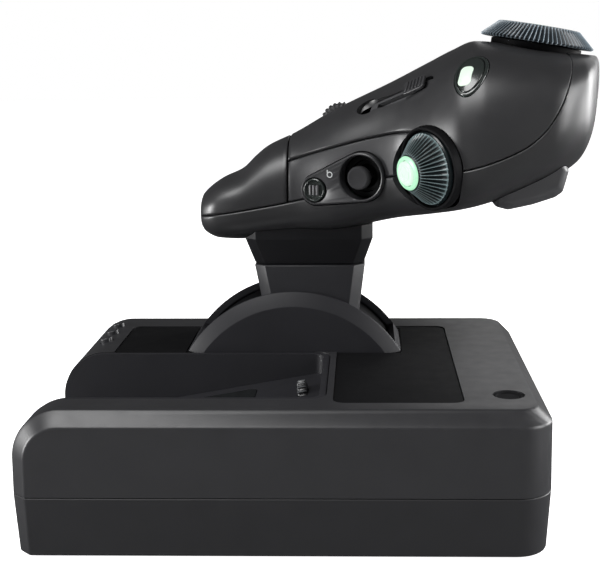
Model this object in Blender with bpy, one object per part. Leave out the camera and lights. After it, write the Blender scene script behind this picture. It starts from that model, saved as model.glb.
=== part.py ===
"""Desk throttle unit of a flight-control set, modelled as separate pieces on real joints.

Sizes are in millimetres and every mesh is made in metres. The base frame has +X away from the user, +Y to
the user's left and +Z up, with its middle on the desk under the base. Pieces of the lever are drawn from its
pivot.
"""

import math

import bmesh
import bpy
import numpy as np
from mathutils import Matrix, Vector

MM = 0.001
GAP = 0.3  # clearance between pieces that touch
OVERSHOOT = 6.0  # how far a cutter reaches past the wall that it cuts
ROUND_STEPS = 24  # sides of a large round piece
SMALL_STEPS = 12  # sides of a pin, screw or small button
FLUTE_STEPS = 2  # points round each flute

# Base case
BASE_LENGTH = 174.0
BASE_WIDTH = 141.0
BASE_TOP = 48.8
PARTING_HEIGHT = 20.9
EDGE_CHAMFER = 4.8
FRONT_RADIUS = 16.0
REAR_CORNER_RADIUS = 12.0
TRAY_TAPER = 1.3
TRAY_FLOOR = 3.0
CASE_WALL = 2.5
FOOT_RADIUS = 6.0
FOOT_HEIGHT = 2.0
FOOT_PROUD = 0.8
FOOT_INSET = 20.5  # from the case sides to a foot's middle
SCREW_FRONT_INSET = 11.0  # from the case's front to a screw's middle
SCREW_REAR_INSET = 9.6
SCREW_SIDE_INSET = 8.8
SCREW_TIP_ROOM = 2.0  # left in a post past the screw's end
SCREW_RADIUS = 1.25
SCREW_LENGTH = 14.0
SCREW_HEAD_RADIUS = 2.9
SCREW_HEAD_HEIGHT = 1.2
POST_RADIUS = 4.0

# Deck plate and the plug in its rear corner
DECK_RECESS = 1.2
DECK_PLATE_THICKNESS = 0.6
DECK_REAR_MARGIN = 27.9
DECK_FRONT_MARGIN = 19.0
DECK_SIDE_MARGIN = 12.1
DECK_CORNER_RADIUS = 4.0
HOOD_FAR_STRIP = 3.2
PLUG_RADIUS = 5.0
PLUG_FLANGE = 1.3
PLUG_FROM_REAR = 12.9
PLUG_FROM_NEAR = 21.6

# Display recess
RAIL_WIDTH = 16.8
RECESS_LENGTH = 101.0
RECESS_CORNER_RADIUS = 6.0
HOUSING_WALL = 2.2
DISPLAY_FLOOR = 3.0
DISPLAY_SLOPE_DEG = 10.0
WINDOW_FRONT_MARGIN = 25.0
WINDOW_REAR_MARGIN = 26.0
WINDOW_SIDE_MARGIN = 8.9
WINDOW_THICKNESS = 1.0
WINDOW_LAP = 3.0  # how far the window overlaps its opening
MODULE_THICKNESS = 6.0
WHEEL_RADIUS = 5.5
WHEEL_WIDTH = 3.4
WHEEL_AXLE_RADIUS = 0.6
WHEEL_AXLE_REACH = 2.2
WHEEL_FLUTES = 12
WHEEL_FLUTE_DEPTH = 0.5
REAR_WHEEL_SETBACK = 9.4  # from the recess's rear end
FRONT_WHEEL_AT = 12.0  # up the slope
WHEEL_FROM_FAR = 23.6  # from the recess's far wall
MODE_BUTTON_RADIUS = 2.5
MODE_BUTTON_PROUD = 1.8
MODE_BUTTON_FLANGE = 0.9
MODE_BUTTON_TRAVEL = 1.0
MODE_BUTTON_PITCH = 12.5
MODE_BUTTON_TURN_DEG = 13.0  # round the front edge from straight up
MODE_BUTTON_COUNT = 3

# Slot hood and lever pivot
PIVOT_DEPTH = 24.9  # below the deck
HOOD_SETBACK = 0.9
HOOD_WIDTH = 38.3
HOOD_FAR_MARGIN = 23.2  # to the far side of the case
HOOD_RADIUS = 47.2
HOOD_FACE_RADIUS = 41.9
HOOD_BEVEL = 3.0
HOOD_WALL = 2.5
HOOD_SEAT = 1.5
SLOT_HALF_DEG = 54.0
LEVER_BACK_DEG = 37.0
LEVER_FORWARD_DEG = 18.0  # where the neck nears the slot's end
SHIELD_THICKNESS = 1.5
SHIELD_CLEARANCE = 0.9
SHIELD_BACK_DEG = 72.0
SHIELD_FORWARD_DEG = 84.0
AXLE_RADIUS = 4.0
BUSH_WALL = 2.0
BUSH_LENGTH = 7.0
HUB_WALL = 3.0
HUB_LENGTH = 24.0
FRAME_PLATE = 2.4
FRAME_HALF_LENGTH = 13.0
GEAR_WIDTH = 4.0
GEAR_MODULE = 0.8
SECTOR_TEETH = 36
PINION_TEETH = 12
PRESSURE_ANGLE_DEG = 25.0
GEAR_BACKLASH = 0.24
PINION_AT_DEG = 60.0  # from straight up, towards the rear
SECTOR_MARGIN_DEG = 14.0
POT_RADIUS = 7.0
POT_LENGTH = 9.0
POT_SHAFT_RADIUS = 2.0
WASHER_THICKNESS = 1.2
NUT_RADIUS = 6.5
NUT_LENGTH = 4.0
AXLE_TAIL = 1.0  # past the nut

# Lever arm and neck, drawn from the pivot
ARM_MIDDLE_X = 7.0
ARM_LENGTH = 16.0
ARM_WIDTH = 13.0
ARM_TOP = 80.0
NECK_CLEARANCE = 0.8  # to the sides of the slot
NECK_TOP = 57.0
NECK_CHAMFER = 4.2
NECK_FRONT_LOW = -9.8
NECK_FRONT_HIGH = -14.9
NECK_REAR_LOW = 23.5
NECK_REAR_HIGH = 26.9
NECK_LOW = 30.0
COLLAR_HALF_WIDTH = 17.0
COLLAR_FRONT = -18.2
COLLAR_REAR = 29.9
COLLAR_DRAW = 3.4  # how far the collar's lower edge is drawn in
COLLAR_WAIST = 77.0  # its widest level lies half-way up to here
COLLAR_TOP = 80.0

# Grip sections from tail to nose: x, bottom, top, near side, far side
GRIP_SECTIONS = (
    (-36.0, 72.9, 81.4, -11.0, 14.0),
    (-33.5, 68.4, 84.4, -15.5, 18.5),
    (-28.0, 66.0, 88.4, -19.0, 22.5),
    (-20.0, 65.6, 92.2, -20.3, 24.5),
    (-15.0, 66.0, 97.0, -20.4, 25.6),
    (-10.5, 66.6, 100.6, -20.7, 26.6),
    (0.0, 67.8, 105.6, -22.0, 28.5),
    (15.0, 69.2, 114.2, -28.0, 31.0),
    (38.0, 74.4, 125.3, -37.4, 34.0),
    (52.0, 77.4, 132.8, -51.2, 35.3),
    (60.0, 79.0, 137.0, -56.5, 35.7),
    (68.0, 80.8, 140.1, -58.0, 36.0),
    (90.0, 88.6, 137.3, -55.5, 35.0),
    (103.0, 95.0, 135.6, -46.5, 28.5),
    (108.0, 101.4, 135.0, -36.0, 21.0),
    (111.5, 112.6, 134.6, -21.5, 8.5),
    (113.4, 125.6, 134.3, -12.5, 0.0),
)
# Height of the widest line of the grip, and of the seam between its lower shell and its covers
GRIP_WIDEST = (
    (-36.0, 76.0), (0.0, 82.0), (35.0, 92.4), (60.0, 97.0), (80.0, 107.0), (97.0, 116.5), (113.4, 130.0),
)
SHELL_SEAM = (
    (-42.0, 74.5), (0.0, 82.0), (35.0, 92.4), (60.0, 96.6), (80.0, 103.7),
    (87.4, 109.4), (92.8, 117.4), (96.6, 126.4), (99.2, 134.0), (101.8, 148.0),
)
PANEL_EDGE = ((-8.0, 95.0), (15.8, 102.8), (31.0, 106.9), (42.0, 108.9), (60.0, 109.2))
GRIP_SQUARENESS = 2.6
GRIP_WALL = 2.6
GRIP_STATIONS = 22
GRIP_POINTS = 24
SEAM_GAP = 0.3
PALM_SEAM_X = -1.6
PANEL_REAR_X = 46.0
PANEL_DEPTH_Y = -8.0  # the thumb panel ends here, well inside the near side

# Thumb controls
BEZEL_AT_X = 17.2
BEZEL_AT_Z = 89.5
BEZEL_YAW_DEG = 22.0
BEZEL_SPAN = 17.9
BEZEL_RISE = 5.2
BEZEL_SMALL_RADIUS = 5.6
BEZEL_LARGE_RADIUS = 9.0
BEZEL_PROUD = 0.8
BEZEL_THICKNESS = 5.0
THUMB_BUTTON_RADIUS = 4.2
THUMB_BUTTON_PROUD = 1.4
THUMB_BUTTON_TRAVEL = 0.9
STICK_WELL_RADIUS = 7.9
STICK_DEPTH = 8.0  # of the stick's tilt axes below the bezel's face
STICK_CAP_RADIUS = 4.2
STICK_CAP_HEIGHT = 3.2
STICK_PROUD = 2.2
STICK_STEM_RADIUS = 1.5
GIMBAL_RADIUS = 5.6
GIMBAL_WALL = 1.3
GIMBAL_HEIGHT = 2.6
GIMBAL_PIN_RADIUS = 0.7
MODULE_WALL = 1.6
STICK_MODULE_DEPTH = 7.0

# Thumb knob
KNOB_AT_X = 47.6
KNOB_AT_Z = 96.4
KNOB_YAW_DEG = 56.0
KNOB_DIP_DEG = 7.0
KNOB_SINK = 2.5
KNOB_RADIUS = 13.0
KNOB_TIP_RADIUS = 5.8
KNOB_LENGTH = 10.6
KNOB_FLUTES = 16
KNOB_FLUTE_DEPTH = 1.3
KNOB_RIM = 2.0
KNOB_WELL_MARGIN = 0.6
KNOB_WELL_WALL = 1.1
KNOB_WELL_FLOOR = 2.4
KNOB_BUTTON_RADIUS = 4.3
KNOB_BUTTON_DEPTH = 3.6
BUTTON_TRAVEL = 0.8
SHAFT_RADIUS = 3.0
CONTROL_POT_RADIUS = 8.0
CONTROL_POT_LENGTH = 7.0

# Top dial
DIAL_AT_X = 90.0
DIAL_AT_Y = -10.5
DIAL_TILT_DEG = 9.5
DIAL_LIFT = 2.0
DIAL_RADIUS = 20.8
DIAL_TOP_RADIUS = 15.0
DIAL_HEIGHT = 6.2
DIAL_FLUTES = 20
DIAL_FLUTE_DEPTH = 1.2
DIAL_RIM = 1.4
DIAL_BASE_RADIUS = 16.6
DIAL_STEM_RADIUS = 8.3
DIAL_BUTTON_RADIUS = 7.8
DIAL_BUTTON_DEPTH = 3.0

# Slide control, lit button and scroll wheel on the top cover
SLIDE_AT_X = 40.0
SLIDE_AT_TURN_DEG = 53.0
SLIDE_SLOT_LENGTH = 30.0
SLIDE_SLOT_WIDTH = 6.0
SLIDE_TRAVEL = 18.0
SLIDE_CAP_LENGTH = 9.0
SLIDE_CAP_WIDTH = 6.6
SLIDE_CAP_HEIGHT = 2.6
SLIDE_STEM_WIDTH = 2.0
SLIDE_CAP_CORNER = 1.2
SLIDE_CAP_LIFT = 1.2  # over the curved cover
SLIDE_POT_DEPTH = 8.0
LAMP_AT_X = 63.0
LAMP_AT_TURN_DEG = 45.0
LAMP_HALF_LENGTH = 9.2
LAMP_HALF_WIDTH = 5.9
LAMP_LEAN_DEG = 65.0  # its long axis leans up across the grip
LAMP_RIM = 2.2
LAMP_DEPTH = 6.0
LAMP_PROUD = 1.2
SCROLL_AT_X = 15.5
SCROLL_RADIUS = 8.0
SCROLL_WIDTH = 6.0
SCROLL_PROUD = 2.3
SCROLL_FLUTES = 16
SCROLL_FLUTE_DEPTH = 0.6

# Finger rest under the nose: side outline from the pivot, and its ends
REST_OUTLINE = (
    (71.5, 86.0), (73.0, 82.0), (77.5, 80.8), (86.0, 82.6), (94.0, 85.2),
    (96.8, 87.2), (98.0, 91.5), (98.9, 95.0), (95.0, 102.0), (71.5, 95.0),
)
REST_NEAR = -44.0
REST_FAR = 25.0
REST_END_SHRINK = 0.72

# Boards and socket
BOARD_THICKNESS = 1.6
CONTROLLER_LENGTH = 46.0
CONTROLLER_WIDTH = 44.0
CONTROLLER_FROM_REAR = 19.0
CONTROLLER_FROM_RECESS = 2.0
CONTROLLER_LIFT = 5.0
STANDOFF_RADIUS = 2.5
STANDOFF_INSET = 4.0
GRIP_BOARD_LENGTH = 44.0
GRIP_BOARD_WIDTH = 28.0
SOCKET_RADIUS = 7.0
SOCKET_DEPTH = 13.0
SOCKET_BORE_RADIUS = 5.0
SOCKET_FROM_MIDDLE = -25.0
SOCKET_HEIGHT = 31.0

# Places that follow from the sizes above
FRONT_X = -BASE_LENGTH / 2
REAR_X = BASE_LENGTH / 2
NEAR_Y = -BASE_WIDTH / 2
FAR_Y = BASE_WIDTH / 2
FLOOR_TOP = FOOT_PROUD + TRAY_FLOOR
CEILING = BASE_TOP - CASE_WALL
RECESS_NEAR = NEAR_Y + RAIL_WIDTH
RECESS_FAR = FAR_Y - HOOD_FAR_MARGIN - HOOD_WIDTH - HOOD_SETBACK
RECESS_WIDTH = RECESS_FAR - RECESS_NEAR
WINDOW_LENGTH = RECESS_LENGTH - WINDOW_FRONT_MARGIN - WINDOW_REAR_MARGIN
WINDOW_WIDTH = RECESS_WIDTH - 2 * WINDOW_SIDE_MARGIN
WINDOW_MIDDLE = WINDOW_FRONT_MARGIN + WINDOW_LENGTH / 2
RECESS_REAR = FRONT_X + RECESS_LENGTH
DECK_FLOOR = BASE_TOP - DECK_RECESS
DISPLAY_FRONT_Z = PARTING_HEIGHT + GAP + DISPLAY_FLOOR
HOOD_NEAR = RECESS_FAR + HOOD_SETBACK
HOOD_FAR = HOOD_NEAR + HOOD_WIDTH
LEVER_Y = (HOOD_NEAR + HOOD_FAR) / 2
PIVOT_Z = BASE_TOP - PIVOT_DEPTH
SLOT_HALF_WIDTH = HOOD_WIDTH / 2 - HOOD_BEVEL - GAP
SHIELD_OUTER = HOOD_RADIUS - HOOD_WALL - SHIELD_CLEARANCE
SHIELD_INNER = SHIELD_OUTER - SHIELD_THICKNESS
SHIELD_HALF_WIDTH = HOOD_WIDTH / 2 - HOOD_WALL - GAP
HOOD_FOOT_Z = DECK_FLOOR + GAP
HOOD_FOOT_HALF = math.sqrt(HOOD_RADIUS**2 - (HOOD_FOOT_Z - PIVOT_Z) ** 2)
BUSH_BORE = AXLE_RADIUS + GAP
BUSH_RADIUS = BUSH_BORE + BUSH_WALL
HUB_BORE = BUSH_RADIUS + GAP
HUB_RADIUS = HUB_BORE + HUB_WALL
SECTOR_PITCH_RADIUS = GEAR_MODULE * SECTOR_TEETH / 2
PINION_PITCH_RADIUS = GEAR_MODULE * PINION_TEETH / 2
GEAR_CENTRES = SECTOR_PITCH_RADIUS + PINION_PITCH_RADIUS
PINION_X = GEAR_CENTRES * math.sin(math.radians(PINION_AT_DEG))
PINION_Z = PIVOT_Z + GEAR_CENTRES * math.cos(math.radians(PINION_AT_DEG))
UPRIGHT_NEAR = LEVER_Y - SHIELD_HALF_WIDTH - GAP
UPRIGHT_FAR = LEVER_Y + SHIELD_HALF_WIDTH + GAP
WASHER_FAR = UPRIGHT_FAR - GAP
GEAR_FAR = WASHER_FAR - WASHER_THICKNESS - GAP
GEAR_NEAR = GEAR_FAR - GEAR_WIDTH
HUB_FAR = GEAR_NEAR - GAP
HUB_NEAR = UPRIGHT_NEAR + GAP
SLOPE = math.radians(DISPLAY_SLOPE_DEG)
REAR_WHEEL_AT = (RECESS_LENGTH - REAR_WHEEL_SETBACK) / math.cos(SLOPE)
TAIL_X = GRIP_SECTIONS[0][0]
NOSE_X = GRIP_SECTIONS[-1][0]

FINISHES = {
    "case": ((0.020, 0.021, 0.024), 0.5, 0.0),
    "deck": ((0.010, 0.010, 0.012), 0.45, 0.0),
    "grip": ((0.018, 0.019, 0.022), 0.42, 0.0),
    "knob": ((0.085, 0.105, 0.135), 0.35, 0.0),
    "lit": ((0.62, 0.86, 0.70), 0.3, 0.0),
    "rubber": ((0.012, 0.012, 0.012), 0.85, 0.0),
    "window": ((0.015, 0.030, 0.028), 0.08, 0.0),
    "board": ((0.010, 0.080, 0.030), 0.55, 0.0),
    "metal": ((0.55, 0.55, 0.56), 0.3, 1.0),
    "gear": ((0.75, 0.74, 0.70), 0.5, 0.0),
}


def clear_scene():
    """Remove every object of the file that the script runs in."""
    for obj in list(bpy.data.objects):
        bpy.data.objects.remove(obj, do_unlink=True)


def finish_material(key):
    """Principled material of one finish, made once."""
    found = bpy.data.materials.get(key)
    if found:
        return found
    colour, roughness, metallic = FINISHES[key]
    material = bpy.data.materials.new(key)
    material.use_nodes = True
    shader = material.node_tree.nodes["Principled BSDF"]
    shader.inputs["Base Color"].default_value = (*colour, 1.0)
    shader.inputs["Roughness"].default_value = roughness
    shader.inputs["Metallic"].default_value = metallic
    material.diffuse_color = (*colour, 1.0)
    return material


def empty(name, place, parent=None):
    """Empty at a place given in its parent's millimetres."""
    obj = bpy.data.objects.new(name, None)
    bpy.context.scene.collection.objects.link(obj)
    obj.parent = parent
    obj.location = Vector(place) * MM
    return obj


def frame_at(point, axis, along=(1.0, 0.0, 0.0)):
    """Placement whose Z runs along axis and whose X lies as near as it can to along."""
    up = Vector(axis).normalized()
    side = Vector(along)
    side = (side - up * side.dot(up)).normalized()
    third = up.cross(side)
    frame = Matrix((side, third, up)).transposed().to_4x4()
    frame.translation = Vector(point)
    return frame


def mesh_object(name, shape, parent, frame):
    """Object holding a closed shape with outward faces, placed by a frame in its parent's millimetres."""
    points, faces = shape
    mesh = bpy.data.meshes.new(name)
    mesh.from_pydata([tuple(point) for point in np.asarray(points, float) * MM], [], faces)
    work = bmesh.new()
    work.from_mesh(mesh)
    bmesh.ops.remove_doubles(work, verts=work.verts, dist=1e-6)
    bmesh.ops.dissolve_degenerate(work, edges=work.edges, dist=1e-7)
    bmesh.ops.recalc_face_normals(work, faces=work.faces)
    work.to_mesh(mesh)
    work.free()
    obj = bpy.data.objects.new(name, mesh)
    bpy.context.scene.collection.objects.link(obj)
    obj.parent = parent
    if frame is not None:
        obj.location = frame.translation * MM
        obj.rotation_euler = frame.to_euler()
    return obj


def piece(name, shape, finish, parent, frame=None):
    """Visible piece with a finish, smooth on its round faces."""
    obj = mesh_object(name, shape, parent, frame)
    obj.data.materials.append(finish_material(finish))
    obj.data.shade_smooth()
    obj.data.set_sharp_from_angle(angle=math.radians(35.0))
    return obj


def combine(target, shape, operation, frame=None):
    """Boolean of a helper shape on a piece, with the helper under the same parent."""
    helper = mesh_object(f"{target.name}_tool", shape, target.parent, frame)
    helper.hide_render = True
    helper.display_type = "WIRE"
    modifier = target.modifiers.new(operation.lower(), "BOOLEAN")
    modifier.operation = operation
    modifier.solver = "EXACT"
    modifier.object = helper


def cut(target, shape, frame=None):
    """Cut a shape out of a piece."""
    combine(target, shape, "DIFFERENCE", frame)


def join(target, shape, frame=None):
    """Join a shape onto a piece."""
    combine(target, shape, "UNION", frame)


def skin(rings, closed=False):
    """Points and faces through rings of equal length, capped at both ends unless the rings close up."""
    rings = [np.asarray(ring, float) for ring in rings]
    count = len(rings[0])
    pairs = len(rings) if closed else len(rings) - 1
    faces = []
    for low in range(pairs):
        high = (low + 1) % len(rings)
        for i in range(count):
            j = (i + 1) % count
            faces.append((low * count + i, low * count + j, high * count + j, high * count + i))
    if not closed:
        faces.append(tuple(range(count)))
        faces.append(tuple((len(rings) - 1) * count + i for i in range(count)))
    return np.vstack(rings), faces


def prism(outline, low, high, axis="z"):
    """Outline extruded along an axis: it lies in XY for z, in XZ for y and in YZ for x."""
    flat = np.asarray(outline, float)
    rings = []
    for level in (low, high):
        column = np.full(len(flat), level)
        if axis == "z":
            rings.append(np.column_stack((flat[:, 0], flat[:, 1], column)))
        elif axis == "y":
            rings.append(np.column_stack((flat[:, 0], column, flat[:, 1])))
        else:
            rings.append(np.column_stack((column, flat[:, 0], flat[:, 1])))
    return skin(rings)


def block(x_span, y_span, z_span):
    """Box between pairs of limits."""
    outline = [(x, y) for x, y in zip(np.repeat(x_span, 2), (y_span[0], y_span[1], y_span[1], y_span[0]))]
    return prism(outline, *z_span)


def arc(middle, radius, start_deg, end_deg, steps):
    """Points of an arc, both ends included."""
    turn = np.radians(np.linspace(start_deg, end_deg, steps + 1))
    return np.column_stack((middle[0] + radius * np.cos(turn), middle[1] + radius * np.sin(turn)))


def circle(radius, steps, middle=(0.0, 0.0)):
    """Points of a full circle."""
    return arc(middle, radius, 0.0, 360.0 - 360.0 / steps, steps - 1)


def turned(profile, steps=ROUND_STEPS, hollow=False):
    """Profile of (radius, height) turned about Z: a solid with flat ends, or a ring if it is hollow."""
    rings = []
    for radius, height in profile:
        flat = circle(radius, steps)
        rings.append(np.column_stack((flat, np.full(steps, height))))
    return skin(rings, closed=hollow)


def rod(radius, low, high, steps=SMALL_STEPS):
    """Plain cylinder along Z."""
    return turned(((radius, low), (radius, high)), steps)


def tube(inner, outer, low, high, steps=ROUND_STEPS):
    """Plain ring along Z."""
    return turned(((inner, low), (outer, low), (outer, high), (inner, high)), steps, hollow=True)


def fluted(profile, flutes, depth):
    """Turned solid whose sides dip round the axis; each profile point says how much of the dip it has."""
    steps = flutes * FLUTE_STEPS
    turn = np.linspace(0.0, 2.0 * np.pi, steps, endpoint=False)
    dip = depth * (0.5 - 0.5 * np.cos(flutes * turn))
    rings = []
    for radius, height, share in profile:
        reach = radius - share * dip
        rings.append(np.column_stack((reach * np.cos(turn), reach * np.sin(turn), np.full(steps, height))))
    return skin(rings)


def rounded_outline(x_span, y_span, radius, steps=4):
    """Rectangle with four rounded corners."""
    (x0, x1), (y0, y1) = x_span, y_span
    return np.vstack((
        arc((x0 + radius, y0 + radius), radius, 180.0, 270.0, steps),
        arc((x1 - radius, y0 + radius), radius, 270.0, 360.0, steps),
        arc((x1 - radius, y1 - radius), radius, 0.0, 90.0, steps),
        arc((x0 + radius, y1 - radius), radius, 90.0, 180.0, steps),
    ))


def two_circle_outline(span, rise, small, large, offset=0.0, steps=14):
    """Outline drawn round a small circle and a large one, as far apart as span and rise."""
    reach = math.hypot(span, rise)
    lean = math.degrees(math.atan2(rise, span))
    open_deg = 90.0 + math.degrees(math.asin((large - small) / reach))
    low = (-span / 2, -rise / 2)
    high = (span / 2, rise / 2)
    return np.vstack((
        arc(high, large + offset, lean - open_deg, lean + open_deg, steps),
        arc(low, small + offset, lean + open_deg, lean + 360.0 - open_deg, steps),
    ))


def monotone(points, x):
    """Smooth curve through hand-placed points that never overshoots them (monotone cubic)."""
    px, py = np.asarray(points, float).T
    step = np.diff(px)
    slope = np.diff(py) / step
    before, after = slope[:-1], slope[1:]
    same = before * after > 0.0
    weight_a = 2.0 * step[1:] + step[:-1]
    weight_b = step[1:] + 2.0 * step[:-1]
    safe_before = np.where(same, before, 1.0)
    safe_after = np.where(same, after, 1.0)
    mean = (weight_a + weight_b) / (weight_a / safe_before + weight_b / safe_after)
    tangent = np.concatenate(([slope[0]], np.where(same, mean, 0.0), [slope[-1]]))
    k = np.clip(np.searchsorted(px, x) - 1, 0, len(px) - 2)
    t = (x - px[k]) / step[k]
    rise = py[k] * (1 + 2 * t) * (1 - t) ** 2 + py[k + 1] * t**2 * (3 - 2 * t)
    return rise + step[k] * (tangent[k] * t * (1 - t) ** 2 - tangent[k + 1] * t**2 * (1 - t))


def grip_point(x, turn, inset=0.0):
    """Point of the grip's skin: turn runs from the near side over the top to the far side and below."""
    table = np.asarray(GRIP_SECTIONS)
    bottom, top, near, far = (monotone(table[:, (0, column)], x) for column in range(1, 5))
    widest = monotone(GRIP_WIDEST, x)
    half = (far - near) / 2 - inset
    side = np.cos(turn)
    rise = np.sin(turn)
    height = np.where(rise > 0.0, top - widest, widest - bottom) - inset
    y = (near + far) / 2 - half * np.sign(side) * np.abs(side) ** (2.0 / GRIP_SQUARENESS)
    z = widest + height * np.sign(rise) * np.abs(rise) ** (2.0 / GRIP_SQUARENESS)
    return np.stack(np.broadcast_arrays(x, y, z), axis=-1)


def grip_solid(inset):
    """Closed solid of the whole grip, drawn in by an inset on every side."""
    share = np.linspace(0.0, 1.0, GRIP_STATIONS)
    share = share - 0.85 * np.sin(2.0 * np.pi * share) / (2.0 * np.pi)
    turn = np.linspace(0.0, 2.0 * np.pi, GRIP_POINTS, endpoint=False)
    stations = TAIL_X + inset + (NOSE_X - TAIL_X - 2 * inset) * share
    return skin([grip_point(x, turn, inset) for x in stations])


def grip_frame(x, turn_deg):
    """Placement on the grip's skin: Z outwards, X along the grip."""
    turn = math.radians(turn_deg)
    small = 1e-3
    point = Vector(grip_point(x, turn))
    along = Vector(grip_point(x + small, turn)) - point
    around = Vector(grip_point(x, turn + small)) - point
    outward = around.cross(along)
    if outward.z < 0.0:
        outward.negate()
    return frame_at(point, outward, along)


def near_skin_y(x, z):
    """How far out the grip's near side lies at a height."""
    turn = np.linspace(-0.5 * np.pi, 0.5 * np.pi, 721)
    ring = grip_point(x, turn)
    return float(np.interp(z, ring[:, 2], ring[:, 1]))


def plan_outline(inset):
    """Base case seen from above: front corners cut at 45 degrees, rear corners round."""
    offset_cut = EDGE_CHAMFER + inset * (math.sqrt(2.0) - 1.0)
    radius = REAR_CORNER_RADIUS
    near, far = NEAR_Y + inset, FAR_Y - inset
    return np.vstack((
        [(FRONT_X + inset, NEAR_Y + offset_cut), (FRONT_X + offset_cut, near)],
        arc((REAR_X - radius, NEAR_Y + radius), radius - inset, 270.0, 360.0, 5),
        arc((REAR_X - radius, FAR_Y - radius), radius - inset, 0.0, 90.0, 5),
        [(FRONT_X + offset_cut, far), (FRONT_X + inset, FAR_Y - offset_cut)],
    ))


def cover_solid(inset, bottom):
    """Upper case as a solid: side outlines set up from the near face to the far one."""
    chamfer = EDGE_CHAMFER - inset * (2.0 - math.sqrt(2.0))
    corner = REAR_CORNER_RADIUS - inset
    corner_x = REAR_X - REAR_CORNER_RADIUS
    arc_middle = (FRONT_X + FRONT_RADIUS, BASE_TOP - FRONT_RADIUS)
    near, far = NEAR_Y + inset, FAR_Y - inset

    def side_outline(depth, y):
        shrink = max(chamfer - depth, 0.0)
        top = BASE_TOP - inset - shrink
        low_x = corner_x + math.sqrt(max(corner**2 - (corner - min(depth, corner)) ** 2, 0.0))
        top_radius = corner - min(depth, chamfer)
        top_x = corner_x + math.sqrt(max(top_radius**2 - (corner - min(depth, corner)) ** 2, 0.0))
        bend = arc(arc_middle, FRONT_RADIUS - inset - shrink, 180.0, 90.0, 6)
        rear = [(top_x, top), (low_x, BASE_TOP - inset - chamfer), (low_x, bottom)]
        flat = np.vstack(([(FRONT_X + inset + shrink, bottom)], bend, rear))
        return np.column_stack((flat[:, 0], np.full(len(flat), y), flat[:, 1]))

    depths = [0.0, chamfer, (chamfer + corner) / 2, corner]
    rings = [side_outline(depth, near + depth) for depth in depths]
    rings += [side_outline(depth, far - depth) for depth in reversed(depths)]
    return skin(rings)


def screw_places():
    """Middles of the four case screws."""
    return [(x, y) for x in (FRONT_X + SCREW_FRONT_INSET, REAR_X - SCREW_REAR_INSET)
            for y in (NEAR_Y + SCREW_SIDE_INSET, FAR_Y - SCREW_SIDE_INSET)]


def board_middle():
    """Middle of the controller board on the tray's floor."""
    x = REAR_X - CONTROLLER_FROM_REAR - CONTROLLER_LENGTH / 2
    return x, RECESS_NEAR + CONTROLLER_WIDTH / 2 + CONTROLLER_FROM_RECESS


def corners(middle, half_x, half_y):
    """Four corner points round a middle."""
    return [(middle[0] + sx * half_x, middle[1] + sy * half_y) for sx in (-1, 1) for sy in (-1, 1)]


def standoff_places():
    """Middles of the posts that carry the controller board."""
    half_x = CONTROLLER_LENGTH / 2 - STANDOFF_INSET
    return corners(board_middle(), half_x, CONTROLLER_WIDTH / 2 - STANDOFF_INSET)


def foot_places():
    """Middles of the four feet."""
    return corners((0.0, 0.0), BASE_LENGTH / 2 - FOOT_INSET, BASE_WIDTH / 2 - FOOT_INSET)


def build_tray(root):
    """Lower tray with its foot pockets, screw holes and board posts."""
    low = plan_outline(TRAY_TAPER)
    high = plan_outline(0.0)
    inner_high = plan_outline(CASE_WALL)
    inner_low = plan_outline(CASE_WALL + TRAY_TAPER)
    rim = PARTING_HEIGHT - GAP / 2
    levels = ((low, FOOT_PROUD), (high, rim), (inner_high, rim), (inner_low, FLOOR_TOP))
    rings = [np.column_stack((outline, np.full(len(outline), z))) for outline, z in levels]
    tray = piece("base_tray", skin(rings), "case", root)
    for x, y in standoff_places():
        join(tray, rod(STANDOFF_RADIUS, FLOOR_TOP - TRAY_FLOOR / 2, FLOOR_TOP + CONTROLLER_LIFT),
             Matrix.Translation((x, y, 0.0)))
    pocket_top = FOOT_HEIGHT + GAP
    pocket = rod(FOOT_RADIUS + GAP, FOOT_PROUD - OVERSHOOT, pocket_top, ROUND_STEPS)
    for x, y in foot_places():
        cut(tray, pocket, Matrix.Translation((x, y, 0.0)))
    head_top = FOOT_PROUD + GAP + SCREW_HEAD_HEIGHT + GAP
    hole = turned((
        (SCREW_HEAD_RADIUS + GAP, FOOT_PROUD - OVERSHOOT), (SCREW_HEAD_RADIUS + GAP, head_top),
        (SCREW_RADIUS + GAP, head_top), (SCREW_RADIUS + GAP, FLOOR_TOP + OVERSHOOT)), SMALL_STEPS)
    for x, y in screw_places():
        cut(tray, hole, Matrix.Translation((x, y, 0.0)))


def recess_outline(inset, front):
    """Display recess from above, open past the front edge, with round rear corners."""
    radius = RECESS_CORNER_RADIUS - inset
    rear, near, far = RECESS_REAR - inset, RECESS_NEAR + inset, RECESS_FAR - inset
    return np.vstack((
        [(front, near)],
        arc((rear - radius, near + radius), radius, 270.0, 360.0, 5),
        arc((rear - radius, far - radius), radius, 0.0, 90.0, 5),
        [(front, far)],
    ))


def deck_outline(inset):
    """Deck plate from above: it runs round the hood and beside the display recess."""
    front, rear = FRONT_X + DECK_FRONT_MARGIN + inset, REAR_X - DECK_REAR_MARGIN - inset
    near, far = NEAR_Y + DECK_SIDE_MARGIN + inset, HOOD_FAR + HOOD_FAR_STRIP - inset
    edge = RECESS_FAR + inset
    beside = RECESS_REAR + HOUSING_WALL + inset
    radius = DECK_CORNER_RADIUS
    return np.vstack((
        arc((front + radius, far - radius), radius, 90.0, 180.0, 4),
        [(front, edge), (beside, edge), (beside, near)],
        arc((rear - radius, near + radius), radius, 270.0, 360.0, 4),
        arc((rear - radius, far - radius), radius, 0.0, 90.0, 4),
    ))


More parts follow.
